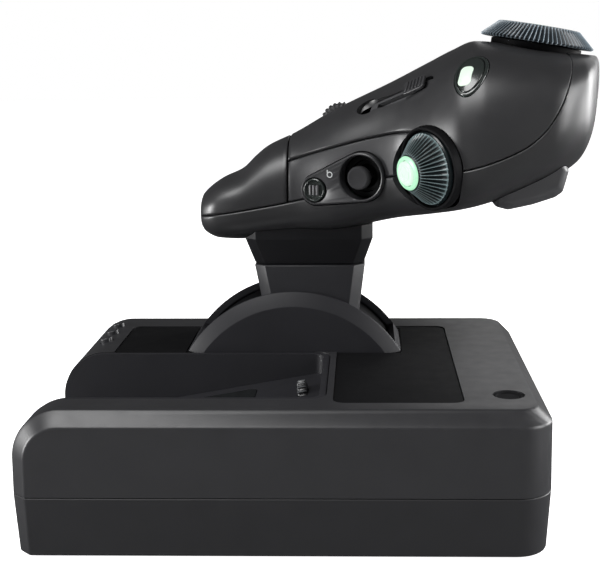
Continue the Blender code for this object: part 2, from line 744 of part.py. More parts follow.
def mode_button_frames():
    """Placements of the front-edge buttons, Z out of the rounded edge."""
    turn = math.radians(MODE_BUTTON_TURN_DEG)
    out = (-math.sin(turn), 0.0, math.cos(turn))
    x = FRONT_X + FRONT_RADIUS + FRONT_RADIUS * out[0]
    z = BASE_TOP - FRONT_RADIUS + FRONT_RADIUS * out[2]
    first = LEVER_Y - MODE_BUTTON_RADIUS / 2
    places = [first + number * MODE_BUTTON_PITCH for number in range(MODE_BUTTON_COUNT)]
    return [frame_at((x, y, z), out, (0.0, 1.0, 0.0)) for y in places]


def plug_frame():
    """Placement of the deck plug, Z up, at the deck's surface."""
    return Matrix.Translation((REAR_X - PLUG_FROM_REAR, NEAR_Y + PLUG_FROM_NEAR, BASE_TOP))


def socket_frame():
    """Placement of the link socket, Z out of the rear wall."""
    return frame_at((REAR_X, SOCKET_FROM_MIDDLE, SOCKET_HEIGHT), (1.0, 0.0, 0.0), (0.0, 1.0, 0.0))


def hood_opening(inset):
    """Opening under the hood: limits along X and Y."""
    half = HOOD_FOOT_HALF - inset
    return (-half, half), (HOOD_NEAR + inset, HOOD_FAR - inset)


def build_cover(root):
    """Upper case with its recesses, openings and screw posts."""
    cover = piece("base_cover", cover_solid(0.0, PARTING_HEIGHT + GAP / 2), "case", root)
    cut(cover, cover_solid(CASE_WALL, PARTING_HEIGHT - OVERSHOOT))
    post_low = FLOOR_TOP + GAP
    hole_top = FOOT_PROUD + SCREW_LENGTH + SCREW_TIP_ROOM
    for x, y in screw_places():
        place = Matrix.Translation((x, y, 0.0))
        join(cover, rod(POST_RADIUS, post_low, BASE_TOP - CASE_WALL / 2), place)
        cut(cover, rod(SCREW_RADIUS + GAP, post_low - OVERSHOOT, hole_top), place)
    cut(cover, prism(deck_outline(0.0), DECK_FLOOR, BASE_TOP + OVERSHOOT))
    recess = recess_outline(0.0, FRONT_X - OVERSHOOT)
    cut(cover, prism(recess, PARTING_HEIGHT - OVERSHOOT, BASE_TOP + OVERSHOOT))
    cut(cover, block(*hood_opening(HOOD_SEAT), (CEILING - OVERSHOOT, BASE_TOP + OVERSHOOT)))
    cut(cover, rod(PLUG_RADIUS + GAP, -CASE_WALL - OVERSHOOT, OVERSHOOT, ROUND_STEPS), plug_frame())
    cut(cover, rod(SOCKET_RADIUS + GAP, -CASE_WALL - OVERSHOOT, OVERSHOOT, ROUND_STEPS), socket_frame())
    for frame in mode_button_frames():
        cut(cover, rod(MODE_BUTTON_RADIUS + GAP, -CASE_WALL - OVERSHOOT, OVERSHOOT), frame)


def build_deck(root):
    """Dark deck plate and the plug behind it."""
    low = DECK_FLOOR + GAP
    plate = piece("deck_plate", prism(deck_outline(GAP), low, low + DECK_PLATE_THICKNESS), "deck", root)
    hood_x, (_, hood_far) = hood_opening(-GAP)
    cut(plate, block(hood_x, (RECESS_FAR, hood_far), (low - OVERSHOOT, BASE_TOP + OVERSHOOT)))
    under = -CASE_WALL - GAP
    plug = ((PLUG_RADIUS + PLUG_FLANGE, under - PLUG_FLANGE), (PLUG_RADIUS + PLUG_FLANGE, under),
            (PLUG_RADIUS, under), (PLUG_RADIUS, -GAP))
    piece("deck_plug", turned(plug), "rubber", root, plug_frame())


def hood_rings(radii_and_sides, bottom, half_deg=None, steps=20):
    """Rings of a drum segment round the pivot: arcs closed by a flat bottom."""
    rings = []
    for radius, y in radii_and_sides:
        limit = half_deg or math.degrees(math.acos((bottom - PIVOT_Z) / radius))
        flat = arc((0.0, PIVOT_Z), radius, 90.0 + limit, 90.0 - limit, steps)
        rings.append(np.column_stack((flat[:, 0], np.full(len(flat), y), flat[:, 1])))
    return rings


def build_hood(root):
    """Slot hood: half a drum with bevelled rims and a slot along its crest."""
    bottom = HOOD_FOOT_Z
    sides = ((HOOD_FACE_RADIUS, HOOD_NEAR), (HOOD_RADIUS, HOOD_NEAR + HOOD_BEVEL),
             (HOOD_RADIUS, HOOD_FAR - HOOD_BEVEL), (HOOD_FACE_RADIUS, HOOD_FAR))
    hood = piece("slot_hood", skin(hood_rings(sides, bottom)), "deck", root)
    inner = HOOD_RADIUS - HOOD_WALL
    hollow = ((inner, HOOD_NEAR + HOOD_WALL), (inner, HOOD_FAR - HOOD_WALL))
    cut(hood, skin(hood_rings(hollow, bottom - OVERSHOOT)))
    middle = (0.0, PIVOT_Z)
    rim = arc(middle, HOOD_RADIUS + OVERSHOOT, 90.0 + SLOT_HALF_DEG, 90.0 - SLOT_HALF_DEG, 12)
    wedge = np.vstack(([middle], rim))
    cut(hood, prism(wedge, LEVER_Y - SLOT_HALF_WIDTH, LEVER_Y + SLOT_HALF_WIDTH, "y"))


def slope_frame(up_slope, y):
    """Placement on the display floor: X up the slope, Z out of it."""
    along = (math.cos(SLOPE), 0.0, math.sin(SLOPE))
    point = (FRONT_X + up_slope * along[0], y, DISPLAY_FRONT_Z + up_slope * along[2])
    return frame_at(point, (-along[2], 0.0, along[0]), along)


def build_display(root):
    """Display housing with its sloping floor, the window, the module below it and two wheels."""
    front = FRONT_X + GAP
    top = BASE_TOP - GAP
    low = PARTING_HEIGHT + GAP / 2
    body = prism(recess_outline(GAP, front - OVERSHOOT), low, top)
    housing = piece("display_housing", body, "deck", root)
    bend = arc((FRONT_X + FRONT_RADIUS, BASE_TOP - FRONT_RADIUS), FRONT_RADIUS - GAP, 180.0, 90.0, 8)
    profile = np.vstack(([(front, low - OVERSHOOT)], bend,
                         [(RECESS_REAR + OVERSHOOT, top), (RECESS_REAR + OVERSHOOT, low - OVERSHOOT)]))
    combine(housing, prism(profile, RECESS_NEAR - OVERSHOOT, RECESS_FAR + OVERSHOOT, "y"), "INTERSECT")
    inside = recess_outline(GAP + HOUSING_WALL, FRONT_X - OVERSHOOT)
    floor = DISPLAY_FRONT_Z + (inside[:, 0] - FRONT_X) * math.tan(SLOPE)
    sky = np.full(len(inside), BASE_TOP + OVERSHOOT)
    cut(housing, skin([np.column_stack((inside, floor)), np.column_stack((inside, sky))]))
    shell = recess_outline(GAP + HOUSING_WALL, FRONT_X + GAP + HOUSING_WALL)
    under = DISPLAY_FRONT_Z + (shell[:, 0] - FRONT_X) * math.tan(SLOPE) - DISPLAY_FLOOR / math.cos(SLOPE)
    ground = np.full(len(shell), low - OVERSHOOT)
    cut(housing, skin([np.column_stack((shell, ground)), np.column_stack((shell, under))]))
    middle_y = (RECESS_NEAR + RECESS_FAR) / 2
    window_frame = slope_frame(WINDOW_MIDDLE, middle_y)
    half_l, half_w = WINDOW_LENGTH / 2, WINDOW_WIDTH / 2
    pocket = rounded_outline((-half_l - GAP, half_l + GAP), (-half_w - GAP, half_w + GAP), WINDOW_LAP)
    cut(housing, prism(pocket, -WINDOW_THICKNESS - GAP, OVERSHOOT), window_frame)
    open_l, open_w = half_l - WINDOW_LAP, half_w - WINDOW_LAP
    opening = block((-open_l, open_l), (-open_w, open_w), (-DISPLAY_FLOOR - OVERSHOOT, OVERSHOOT))
    cut(housing, opening, window_frame)
    pane = rounded_outline((-half_l, half_l), (-half_w, half_w), WINDOW_LAP - GAP)
    piece("display_window", prism(pane, -WINDOW_THICKNESS, 0.0), "window", root, window_frame)
    module_top = -DISPLAY_FLOOR - GAP
    module = block((-half_l, half_l), (-half_w, half_w), (module_top - MODULE_THICKNESS, module_top))
    piece("display_module", module, "board", root, window_frame)
    wheel_y = RECESS_FAR - WHEEL_FROM_FAR
    reach = WHEEL_WIDTH / 2 + WHEEL_AXLE_REACH
    slot_half = math.sqrt(WHEEL_RADIUS**2 - (DISPLAY_FLOOR / 2) ** 2) + 2 * GAP
    for name, at in (("display_wheel_rear", REAR_WHEEL_AT), ("display_wheel_front", FRONT_WHEEL_AT)):
        frame = slope_frame(at, wheel_y)
        cut(housing, block((-WHEEL_WIDTH / 2 - GAP, WHEEL_WIDTH / 2 + GAP), (-slot_half, slot_half),
                           (-DISPLAY_FLOOR - OVERSHOOT, OVERSHOOT)), frame)
        sunk = Matrix.Translation((0.0, 0.0, -DISPLAY_FLOOR / 2))
        axle = frame @ sunk @ Matrix.Rotation(math.pi / 2, 4, "Y")
        cut(housing, rod(WHEEL_AXLE_RADIUS + GAP, -reach - GAP, reach + GAP), axle)
        half = WHEEL_WIDTH / 2
        profile = ((WHEEL_AXLE_RADIUS, -reach, 0.0), (WHEEL_AXLE_RADIUS, -half, 0.0),
                   (WHEEL_RADIUS, -half, 1.0), (WHEEL_RADIUS, half, 1.0),
                   (WHEEL_AXLE_RADIUS, half, 0.0), (WHEEL_AXLE_RADIUS, reach, 0.0))
        piece(name, fluted(profile, WHEEL_FLUTES, WHEEL_FLUTE_DEPTH), "knob", root, axle)


def build_mode_buttons(root):
    """Three small push buttons in the rounded front edge."""
    under = -CASE_WALL - MODE_BUTTON_FLANGE
    profile = ((MODE_BUTTON_RADIUS + MODE_BUTTON_FLANGE, under - MODE_BUTTON_FLANGE),
               (MODE_BUTTON_RADIUS + MODE_BUTTON_FLANGE, under), (MODE_BUTTON_RADIUS, under),
               (MODE_BUTTON_RADIUS, MODE_BUTTON_PROUD - GAP), (MODE_BUTTON_RADIUS - GAP, MODE_BUTTON_PROUD))
    for number, frame in enumerate(mode_button_frames(), 1):
        piece(f"mode_button_{number}", turned(profile, SMALL_STEPS), "gear", root, frame)


def build_fixings(root):
    """Feet, case screws, controller board and link socket."""
    for number, (x, y) in enumerate(foot_places(), 1):
        foot = turned(((FOOT_RADIUS - GAP, 0.0), (FOOT_RADIUS, GAP), (FOOT_RADIUS, FOOT_HEIGHT)))
        piece(f"foot_{number}", foot, "rubber", root, Matrix.Translation((x, y, 0.0)))
    seat = FOOT_PROUD + GAP
    screw = ((SCREW_HEAD_RADIUS, seat), (SCREW_HEAD_RADIUS, seat + SCREW_HEAD_HEIGHT),
             (SCREW_RADIUS, seat + SCREW_HEAD_HEIGHT), (SCREW_RADIUS, seat + SCREW_LENGTH))
    for number, (x, y) in enumerate(screw_places(), 1):
        place = Matrix.Translation((x, y, 0.0))
        piece(f"case_screw_{number}", turned(screw, SMALL_STEPS), "metal", root, place)
    mx, my = board_middle()
    low = FLOOR_TOP + CONTROLLER_LIFT + GAP
    board = block((mx - CONTROLLER_LENGTH / 2, mx + CONTROLLER_LENGTH / 2),
                  (my - CONTROLLER_WIDTH / 2, my + CONTROLLER_WIDTH / 2), (low, low + BOARD_THICKNESS))
    piece("controller_board", board, "board", root)
    face = -GAP
    socket = turned(((SOCKET_RADIUS, -SOCKET_DEPTH), (SOCKET_RADIUS, face), (SOCKET_BORE_RADIUS, face),
                     (SOCKET_BORE_RADIUS, face - SOCKET_DEPTH / 2)))
    piece("link_socket", socket, "rubber", root, socket_frame())


def pivot_frame_at(y, x=0.0, z=PIVOT_Z):
    """Placement on the lever's axis, Z to the user's left."""
    return frame_at((x, y, z), (0.0, 1.0, 0.0))


def build_pivot(root):
    """Frame, axle, nut, friction washer and potentiometer that stay with the base."""
    low = FLOOR_TOP + GAP
    base_top = low + FRAME_PLATE
    span = (-FRAME_HALF_LENGTH, FRAME_HALF_LENGTH)
    across = (UPRIGHT_NEAR - FRAME_PLATE, UPRIGHT_FAR + FRAME_PLATE)
    frame = piece("pivot_frame", block(span, across, (low, base_top)), "metal", root)
    eye = BUSH_RADIUS + HUB_WALL
    near_plate = block((-eye, eye), (UPRIGHT_NEAR - FRAME_PLATE, UPRIGHT_NEAR), (low + GAP, PIVOT_Z + eye))
    join(frame, near_plate)
    pot_edge = PINION_X + POT_RADIUS
    far_outline = [(-eye, low + GAP), (-eye, PIVOT_Z + eye), (PINION_X - POT_RADIUS, PINION_Z + POT_RADIUS),
                   (pot_edge, PINION_Z + POT_RADIUS), (pot_edge, PINION_Z - POT_RADIUS), (eye, low + GAP)]
    join(frame, prism(far_outline, UPRIGHT_FAR, UPRIGHT_FAR + FRAME_PLATE, "y"))
    bore = rod(AXLE_RADIUS + GAP, -OVERSHOOT, OVERSHOOT, ROUND_STEPS)
    cut(frame, bore, pivot_frame_at(UPRIGHT_NEAR))
    cut(frame, bore, pivot_frame_at(UPRIGHT_FAR))
    shaft_hole = rod(POT_SHAFT_RADIUS + GAP, -OVERSHOOT, OVERSHOOT)
    cut(frame, shaft_hole, pivot_frame_at(UPRIGHT_FAR, PINION_X, PINION_Z))
    nut_near = UPRIGHT_FAR + FRAME_PLATE + GAP
    end = nut_near + NUT_LENGTH + AXLE_TAIL - LEVER_Y
    start = UPRIGHT_NEAR - FRAME_PLATE - LEVER_Y
    piece("pivot_axle", rod(AXLE_RADIUS, start, end, ROUND_STEPS), "metal", root, pivot_frame_at(LEVER_Y))
    nut = tube(AXLE_RADIUS + GAP, NUT_RADIUS, 0.0, NUT_LENGTH, 6 * 4)
    piece("axle_nut", nut, "metal", root, pivot_frame_at(nut_near))
    washer = tube(AXLE_RADIUS + GAP, HUB_RADIUS, -WASHER_THICKNESS, 0.0)
    piece("friction_washer", washer, "rubber", root, pivot_frame_at(WASHER_FAR))
    pot_near = UPRIGHT_FAR + FRAME_PLATE + GAP
    shaft_bore = POT_SHAFT_RADIUS + GAP
    pot = turned(((shaft_bore, POT_LENGTH / 2), (shaft_bore, 0.0), (POT_RADIUS, 0.0), (POT_RADIUS, POT_LENGTH)))
    piece("lever_pot", pot, "metal", root, pivot_frame_at(pot_near, PINION_X, PINION_Z))


def gear_outline(teeth, first_deg, count):
    """Involute teeth in XZ about a centre: tooth middles run from first_deg off straight up, towards +X."""
    pitch_radius = GEAR_MODULE * teeth / 2
    pressure = math.radians(PRESSURE_ANGLE_DEG)
    base_radius = pitch_radius * math.cos(pressure)
    root = pitch_radius - 1.15 * GEAR_MODULE
    tip = pitch_radius + 0.85 * GEAR_MODULE
    radii = np.linspace(max(base_radius, root), tip, 4)
    half_at_pitch = np.pi / (2 * teeth) - GEAR_BACKLASH / (4 * pitch_radius)
    roll = np.arccos(np.clip(base_radius / radii, -1.0, 1.0))
    half = half_at_pitch + (math.tan(pressure) - pressure) - (np.tan(roll) - roll)
    flank_radii = np.concatenate(([root], radii, radii[::-1], [root]))
    flank_turns = np.concatenate(([-half[0]], -half, half[::-1], [half[0]]))
    points = []
    for tooth in range(count):
        turn = math.radians(first_deg + tooth * 360.0 / teeth) + flank_turns
        points.append(np.column_stack((flank_radii * np.sin(turn), flank_radii * np.cos(turn))))
    return np.vstack(points)


def build_gears(root, lever):
    """Sector gear on the lever and the pinion that it drives."""
    tooth_deg = 360.0 / SECTOR_TEETH
    before = math.ceil((LEVER_FORWARD_DEG + SECTOR_MARGIN_DEG) / tooth_deg)
    after = math.ceil((LEVER_BACK_DEG + SECTOR_MARGIN_DEG) / tooth_deg)
    first = PINION_AT_DEG - before * tooth_deg
    last = PINION_AT_DEG + after * tooth_deg
    teeth = gear_outline(SECTOR_TEETH, first, before + after + 1)
    back = arc((0.0, 0.0), HUB_RADIUS, 90.0 - last - 30.0, 90.0 - first - 330.0, 14)
    outline = np.vstack((teeth, back))
    body = prism(outline, GEAR_NEAR - LEVER_Y, GEAR_FAR - LEVER_Y, "y")
    sector = piece("sector_gear", body, "gear", lever)
    cut(sector, rod(AXLE_RADIUS + GAP, -OVERSHOOT, OVERSHOOT, ROUND_STEPS),
        frame_at((0.0, (GEAR_NEAR + GEAR_FAR) / 2 - LEVER_Y, 0.0), (0.0, 1.0, 0.0)))
    half_tooth = 180.0 / PINION_TEETH
    flat = gear_outline(PINION_TEETH, PINION_AT_DEG + 180.0 + half_tooth, PINION_TEETH)
    flat[:, 1] *= -1.0
    frame = pivot_frame_at((GEAR_NEAR + GEAR_FAR) / 2, PINION_X, PINION_Z)
    half = GEAR_WIDTH / 2 - GAP
    pinion = piece("pot_pinion", prism(flat, -half, half), "gear", root, frame)
    shaft_end = UPRIGHT_FAR + FRAME_PLATE + GAP + POT_LENGTH / 2 - GAP - (GEAR_NEAR + GEAR_FAR) / 2
    join(pinion, rod(POT_SHAFT_RADIUS, 0.0, shaft_end), frame)


def chamfered_ring(x_span, half_y, chamfer, z):
    """Rectangle with cut corners at one height."""
    (x0, x1), y = x_span, half_y
    flat = [(x0 + chamfer, -y), (x1 - chamfer, -y), (x1, -y + chamfer), (x1, y - chamfer),
            (x1 - chamfer, y), (x0 + chamfer, y), (x0, y - chamfer), (x0, -y + chamfer)]
    return [(px, py, z) for px, py in flat]


def arm_spans(clearance):
    """Limits of the lever arm's bar along X and Y."""
    half_x, half_y = ARM_LENGTH / 2 + clearance, ARM_WIDTH / 2 + clearance
    return (ARM_MIDDLE_X - half_x, ARM_MIDDLE_X + half_x), (-half_y, half_y)


def build_lever(lever):
    """Arm on its bushes, the shield under the slot, the neck and the collar below the grip."""
    hub_far = HUB_FAR - LEVER_Y
    hub_near = HUB_NEAR - LEVER_Y
    axis = frame_at((0.0, 0.0, 0.0), (0.0, 1.0, 0.0))
    arm = piece("lever_arm", block(*arm_spans(0.0), (0.0, ARM_TOP)), "metal", lever)
    join(arm, rod(HUB_RADIUS, hub_near, hub_far, ROUND_STEPS), axis)
    cut(arm, rod(HUB_BORE, hub_near - OVERSHOOT, hub_far + OVERSHOOT, ROUND_STEPS), axis)
    bush = tube(BUSH_BORE, BUSH_RADIUS, 0.0, BUSH_LENGTH)
    for name, y in (("bush_near", hub_near), ("bush_far", hub_far - BUSH_LENGTH)):
        piece(name, bush, "gear", lever, frame_at((0.0, y, 0.0), (0.0, 1.0, 0.0)))
    span = (90.0 + SHIELD_BACK_DEG, 90.0 - SHIELD_FORWARD_DEG)
    middle = (0.0, 0.0)
    band = np.vstack((arc(middle, SHIELD_OUTER, *span, 26), arc(middle, SHIELD_INNER, *span[::-1], 26)))
    shield = piece("slot_shield", prism(band, -SHIELD_HALF_WIDTH, SHIELD_HALF_WIDTH, "y"), "deck", lever)
    cut(shield, block(*arm_spans(GAP), (0.0, ARM_TOP)))
    neck_half = SLOT_HALF_WIDTH - NECK_CLEARANCE
    neck_rings = (chamfered_ring((NECK_FRONT_LOW, NECK_REAR_LOW), neck_half, NECK_CHAMFER, NECK_LOW),
                  chamfered_ring((NECK_FRONT_HIGH, NECK_REAR_HIGH), neck_half, NECK_CHAMFER, NECK_TOP))
    neck = piece("lever_neck", skin(neck_rings), "grip", lever)
    cut(neck, rod(SHIELD_OUTER + GAP, -HOOD_WIDTH, HOOD_WIDTH, ROUND_STEPS * 2), axis)
    cut(neck, block(*arm_spans(GAP), (0.0, ARM_TOP)))
    low = NECK_TOP + GAP
    mid = (low + COLLAR_WAIST) / 2
    drawn = (COLLAR_FRONT + COLLAR_DRAW, COLLAR_REAR - COLLAR_DRAW)
    full = (COLLAR_FRONT, COLLAR_REAR)
    collar_rings = (chamfered_ring(drawn, COLLAR_HALF_WIDTH - COLLAR_DRAW, NECK_CHAMFER, low),
                    chamfered_ring(full, COLLAR_HALF_WIDTH, NECK_CHAMFER, mid),
                    chamfered_ring(full, COLLAR_HALF_WIDTH, NECK_CHAMFER, COLLAR_TOP))
    collar = piece("neck_collar", skin(collar_rings), "grip", lever)
    cut(collar, grip_solid(-GAP))
    cut(collar, block(*arm_spans(GAP), (0.0, ARM_TOP)))


def seam_region(shift, above):
    """Side region above or below the shell seam, moved off the seam by a shift."""
    x = np.linspace(SHELL_SEAM[0][0], SHELL_SEAM[-1][0], 40)
    line = np.column_stack((x - shift, monotone(SHELL_SEAM, x) + shift))
    if above:
        return np.vstack((line, [(line[0, 0], line[-1, 1])]))
    past = NOSE_X + OVERSHOOT
    return np.vstack((line, [(past, line[-1, 1]), (past, 0.0), (line[0, 0], 0.0)]))


def panel_region(grow):
    """Side region of the thumb panel between the shell seam and its own upper edge."""
    x = np.linspace(PALM_SEAM_X + SEAM_GAP / 2 - grow, PANEL_REAR_X + grow, 16)
    low = monotone(SHELL_SEAM, x) + SEAM_GAP / 2 - grow
    high = monotone(PANEL_EDGE, x) + grow
    return np.vstack((np.column_stack((x, low)), np.column_stack((x, high))[::-1]))


def bezel_frame():
    """Placement of the thumb bezel: Z out of the near side, X along the grip."""
    yaw = math.radians(BEZEL_YAW_DEG)
    out = Vector((-math.sin(yaw), -math.cos(yaw), 0.0))
    point = Vector((BEZEL_AT_X, near_skin_y(BEZEL_AT_X, BEZEL_AT_Z), BEZEL_AT_Z))
    return frame_at(point + out * BEZEL_PROUD, out, (math.cos(yaw), -math.sin(yaw), 0.0))


def knob_frame():
    """Placement of the thumb knob's foot, Z out along its axis."""
    yaw, dip = math.radians(KNOB_YAW_DEG), math.radians(KNOB_DIP_DEG)
    out = Vector((-math.sin(yaw) * math.cos(dip), -math.cos(yaw) * math.cos(dip), -math.sin(dip)))
    point = Vector((KNOB_AT_X, near_skin_y(KNOB_AT_X, KNOB_AT_Z), KNOB_AT_Z))
    return frame_at(point - out * KNOB_SINK, out, (0.0, 0.0, 1.0))


def dial_frame():
    """Placement of the top dial's foot on the crest of the grip, Z out along its axis."""
    tilt = math.radians(DIAL_TILT_DEG)
    crest = monotone(np.asarray(GRIP_SECTIONS)[:, (0, 2)], DIAL_AT_X)
    return frame_at((DIAL_AT_X, DIAL_AT_Y, float(crest)), (math.sin(tilt), 0.0, math.cos(tilt)))


def lamp_outline(offset, steps=24):
    """Egg-shaped outline of the lit button."""
    turn = np.linspace(0.0, 2.0 * np.pi, steps, endpoint=False)
    along = (LAMP_HALF_LENGTH + offset) * np.cos(turn)
    across = (LAMP_HALF_WIDTH + offset) * (1.0 + 0.12 * np.cos(turn)) * np.sin(turn)
    lean = math.radians(LAMP_LEAN_DEG)
    return np.column_stack((along * math.cos(lean) - across * math.sin(lean),
                            along * math.sin(lean) + across * math.cos(lean)))


def scroll_frame():
    """Placement of the scroll wheel's middle in the crest of the grip, Z out of the skin."""
    return grip_frame(SCROLL_AT_X, 90.0) @ Matrix.Translation((0.0, 0.0, SCROLL_PROUD - SCROLL_RADIUS))


def cut_thumb_openings(shell):
    """Openings of the thumb bezel and of the knob's well, in whichever shells they cross."""
    outline = two_circle_outline(BEZEL_SPAN, BEZEL_RISE, BEZEL_SMALL_RADIUS, BEZEL_LARGE_RADIUS, GAP)
    cut(shell, prism(outline, -BEZEL_THICKNESS - OVERSHOOT, OVERSHOOT), bezel_frame())
    radius = KNOB_RADIUS + KNOB_WELL_MARGIN + KNOB_WELL_WALL + GAP
    cut(shell, rod(radius, -2 * OVERSHOOT, 3 * OVERSHOOT, ROUND_STEPS), knob_frame())


def build_shells(lever):
    """Lower shell with the nose fairing, palm cover, top cover and thumb panel, cut from one grip."""
    outer, hollow = grip_solid(0.0), grip_solid(GRIP_WALL)
    reach = (-BASE_WIDTH, BASE_WIDTH)
    lower = piece("lower_shell", outer, "grip", lever)
    cut(lower, hollow)
    cut(lower, prism(seam_region(-SEAM_GAP / 2, True), *reach, "y"))
    cut(lower, block(*arm_spans(GAP), (0.0, ARM_TOP)))
    cut_thumb_openings(lower)
    below = prism(seam_region(SEAM_GAP / 2, False), *reach, "y")
    palm = piece("palm_cover", outer, "grip", lever)
    cut(palm, hollow)
    cut(palm, below)
    cut(palm, block((PALM_SEAM_X - SEAM_GAP / 2, NOSE_X + OVERSHOOT), reach, (0.0, ARM_TOP * 2)))
    top = piece("top_cover", outer, "grip", lever)
    cut(top, hollow)
    cut(top, below)
    cut(top, block((TAIL_X - OVERSHOOT, PALM_SEAM_X + SEAM_GAP / 2), reach, (0.0, ARM_TOP * 2)))
    cut(top, prism(panel_region(SEAM_GAP), -BASE_WIDTH, PANEL_DEPTH_Y, "y"))
    cut_thumb_openings(top)
    slot = rounded_outline((-SLIDE_SLOT_LENGTH / 2, SLIDE_SLOT_LENGTH / 2),
                           (-SLIDE_SLOT_WIDTH / 2, SLIDE_SLOT_WIDTH / 2), SLIDE_SLOT_WIDTH / 2 - GAP)
    cut(top, prism(slot, -OVERSHOOT, OVERSHOOT), grip_frame(SLIDE_AT_X, SLIDE_AT_TURN_DEG))
    cut(top, prism(lamp_outline(GAP), -OVERSHOOT, OVERSHOOT), grip_frame(LAMP_AT_X, LAMP_AT_TURN_DEG))
    cut(top, rod(DIAL_STEM_RADIUS + GAP, -2 * OVERSHOOT, OVERSHOOT, ROUND_STEPS), dial_frame())
    long_half, wide_half = SCROLL_RADIUS + GAP, SCROLL_WIDTH / 2 + GAP
    scroll_slot = block((-long_half, long_half), (-wide_half, wide_half), (-OVERSHOOT, 3 * OVERSHOOT))
    cut(top, scroll_slot, scroll_frame())
    panel = piece("thumb_panel", outer, "grip", lever)
    cut(panel, hollow)
    combine(panel, prism(panel_region(0.0), -BASE_WIDTH, PANEL_DEPTH_Y - SEAM_GAP, "y"), "INTERSECT")
    cut_thumb_openings(panel)


def build_finger_rest(lever):
    """Finger rest: its side outline carried across the grip, drawn in at both ends and cut to the shell."""
    outline = np.asarray(REST_OUTLINE)
    seat = outline.mean(axis=0) + (0.0, (outline[:, 1].max() - outline[:, 1].min()) / 2)
    end = (outline - seat) * REST_END_SHRINK + seat
    inset = (REST_FAR - REST_NEAR) / 8
    sides = ((REST_NEAR, end), (REST_NEAR + inset, outline), (REST_FAR - inset, outline), (REST_FAR, end))
    rings = []
    for y, flat in sides:
        rings.append(np.column_stack((flat[:, 0], np.full(len(flat), y), flat[:, 1])))
    rest = piece("finger_rest", skin(rings), "grip", lever)
    cut(rest, grip_solid(-GAP))


def build_thumb_controls(lever):
    """Thumb bezel with its button and mini stick on a two-axis gimbal."""
    frame = bezel_frame()
    outline = two_circle_outline(BEZEL_SPAN, BEZEL_RISE, BEZEL_SMALL_RADIUS, BEZEL_LARGE_RADIUS)
    bezel = piece("thumb_bezel", prism(outline, -BEZEL_THICKNESS, 0.0), "grip", lever, frame)
    button_at = frame @ Matrix.Translation((-BEZEL_SPAN / 2, -BEZEL_RISE / 2, 0.0))
    well_at = frame @ Matrix.Translation((BEZEL_SPAN / 2, BEZEL_RISE / 2, 0.0))
    under = -BEZEL_THICKNESS - OVERSHOOT
    cut(bezel, rod(THUMB_BUTTON_RADIUS + GAP, under, OVERSHOOT, ROUND_STEPS), button_at)
    cut(bezel, rod(STICK_WELL_RADIUS, under, OVERSHOOT, ROUND_STEPS), well_at)
    button = turned(((THUMB_BUTTON_RADIUS, -BEZEL_THICKNESS),
                     (THUMB_BUTTON_RADIUS, THUMB_BUTTON_PROUD - GAP),
                     (THUMB_BUTTON_RADIUS - GAP, THUMB_BUTTON_PROUD)))
    piece("thumb_button", button, "deck", lever, button_at)
    axes = well_at @ Matrix.Translation((0.0, 0.0, -STICK_DEPTH))
    module_radius = GIMBAL_RADIUS + GAP + MODULE_WALL
    rim = -BEZEL_THICKNESS - GAP + STICK_DEPTH
    low = -STICK_MODULE_DEPTH
    cup = tube(module_radius - MODULE_WALL, module_radius, low, rim)
    module = piece("stick_module", cup, "metal", lever, axes)
    floor = rod(module_radius - MODULE_WALL / 2, low, low + MODULE_WALL, ROUND_STEPS)
    join(module, floor, axes)
    sideways = axes @ Matrix.Rotation(math.pi / 2, 4, "Y")
    upright = axes @ Matrix.Rotation(math.pi / 2, 4, "X")
    pin_reach = GIMBAL_RADIUS + GAP + MODULE_WALL / 2
    across = module_radius + OVERSHOOT
    cut(module, rod(GIMBAL_PIN_RADIUS + GAP, -across, across), sideways)
    half = GIMBAL_HEIGHT / 2
    inner = GIMBAL_RADIUS - GIMBAL_WALL
    gimbal = piece("stick_gimbal", tube(inner, GIMBAL_RADIUS, -half, half), "metal", lever, axes)
    pin_root = GIMBAL_RADIUS - GIMBAL_WALL / 2
    for start, end in ((-pin_reach, -pin_root), (pin_root, pin_reach)):
        join(gimbal, rod(GIMBAL_PIN_RADIUS, start, end), sideways)
    cut(gimbal, rod(GIMBAL_PIN_RADIUS + GAP, -across, across), upright)
    cap_top = STICK_DEPTH + STICK_PROUD
    cap_low = cap_top - STICK_CAP_HEIGHT
    profile = ((STICK_STEM_RADIUS, -half), (STICK_STEM_RADIUS, cap_low), (STICK_CAP_RADIUS - GAP, cap_low),
               (STICK_CAP_RADIUS, cap_low + GAP), (STICK_CAP_RADIUS, cap_top - GAP),
               (STICK_CAP_RADIUS - GAP, cap_top))
    stick = piece("thumb_stick", turned(profile, 20), "rubber", lever, axes)
    join(stick, rod(GIMBAL_PIN_RADIUS, -pin_root, pin_root), upright)


def pot_shape():
    """Round potentiometer body below a control, with a blind bore for the control's shaft."""
    bore = SHAFT_RADIUS + GAP
    return turned(((bore, -CONTROL_POT_LENGTH / 2 - GAP), (bore, 0.0), (CONTROL_POT_RADIUS, 0.0),
                   (CONTROL_POT_RADIUS, -CONTROL_POT_LENGTH)))


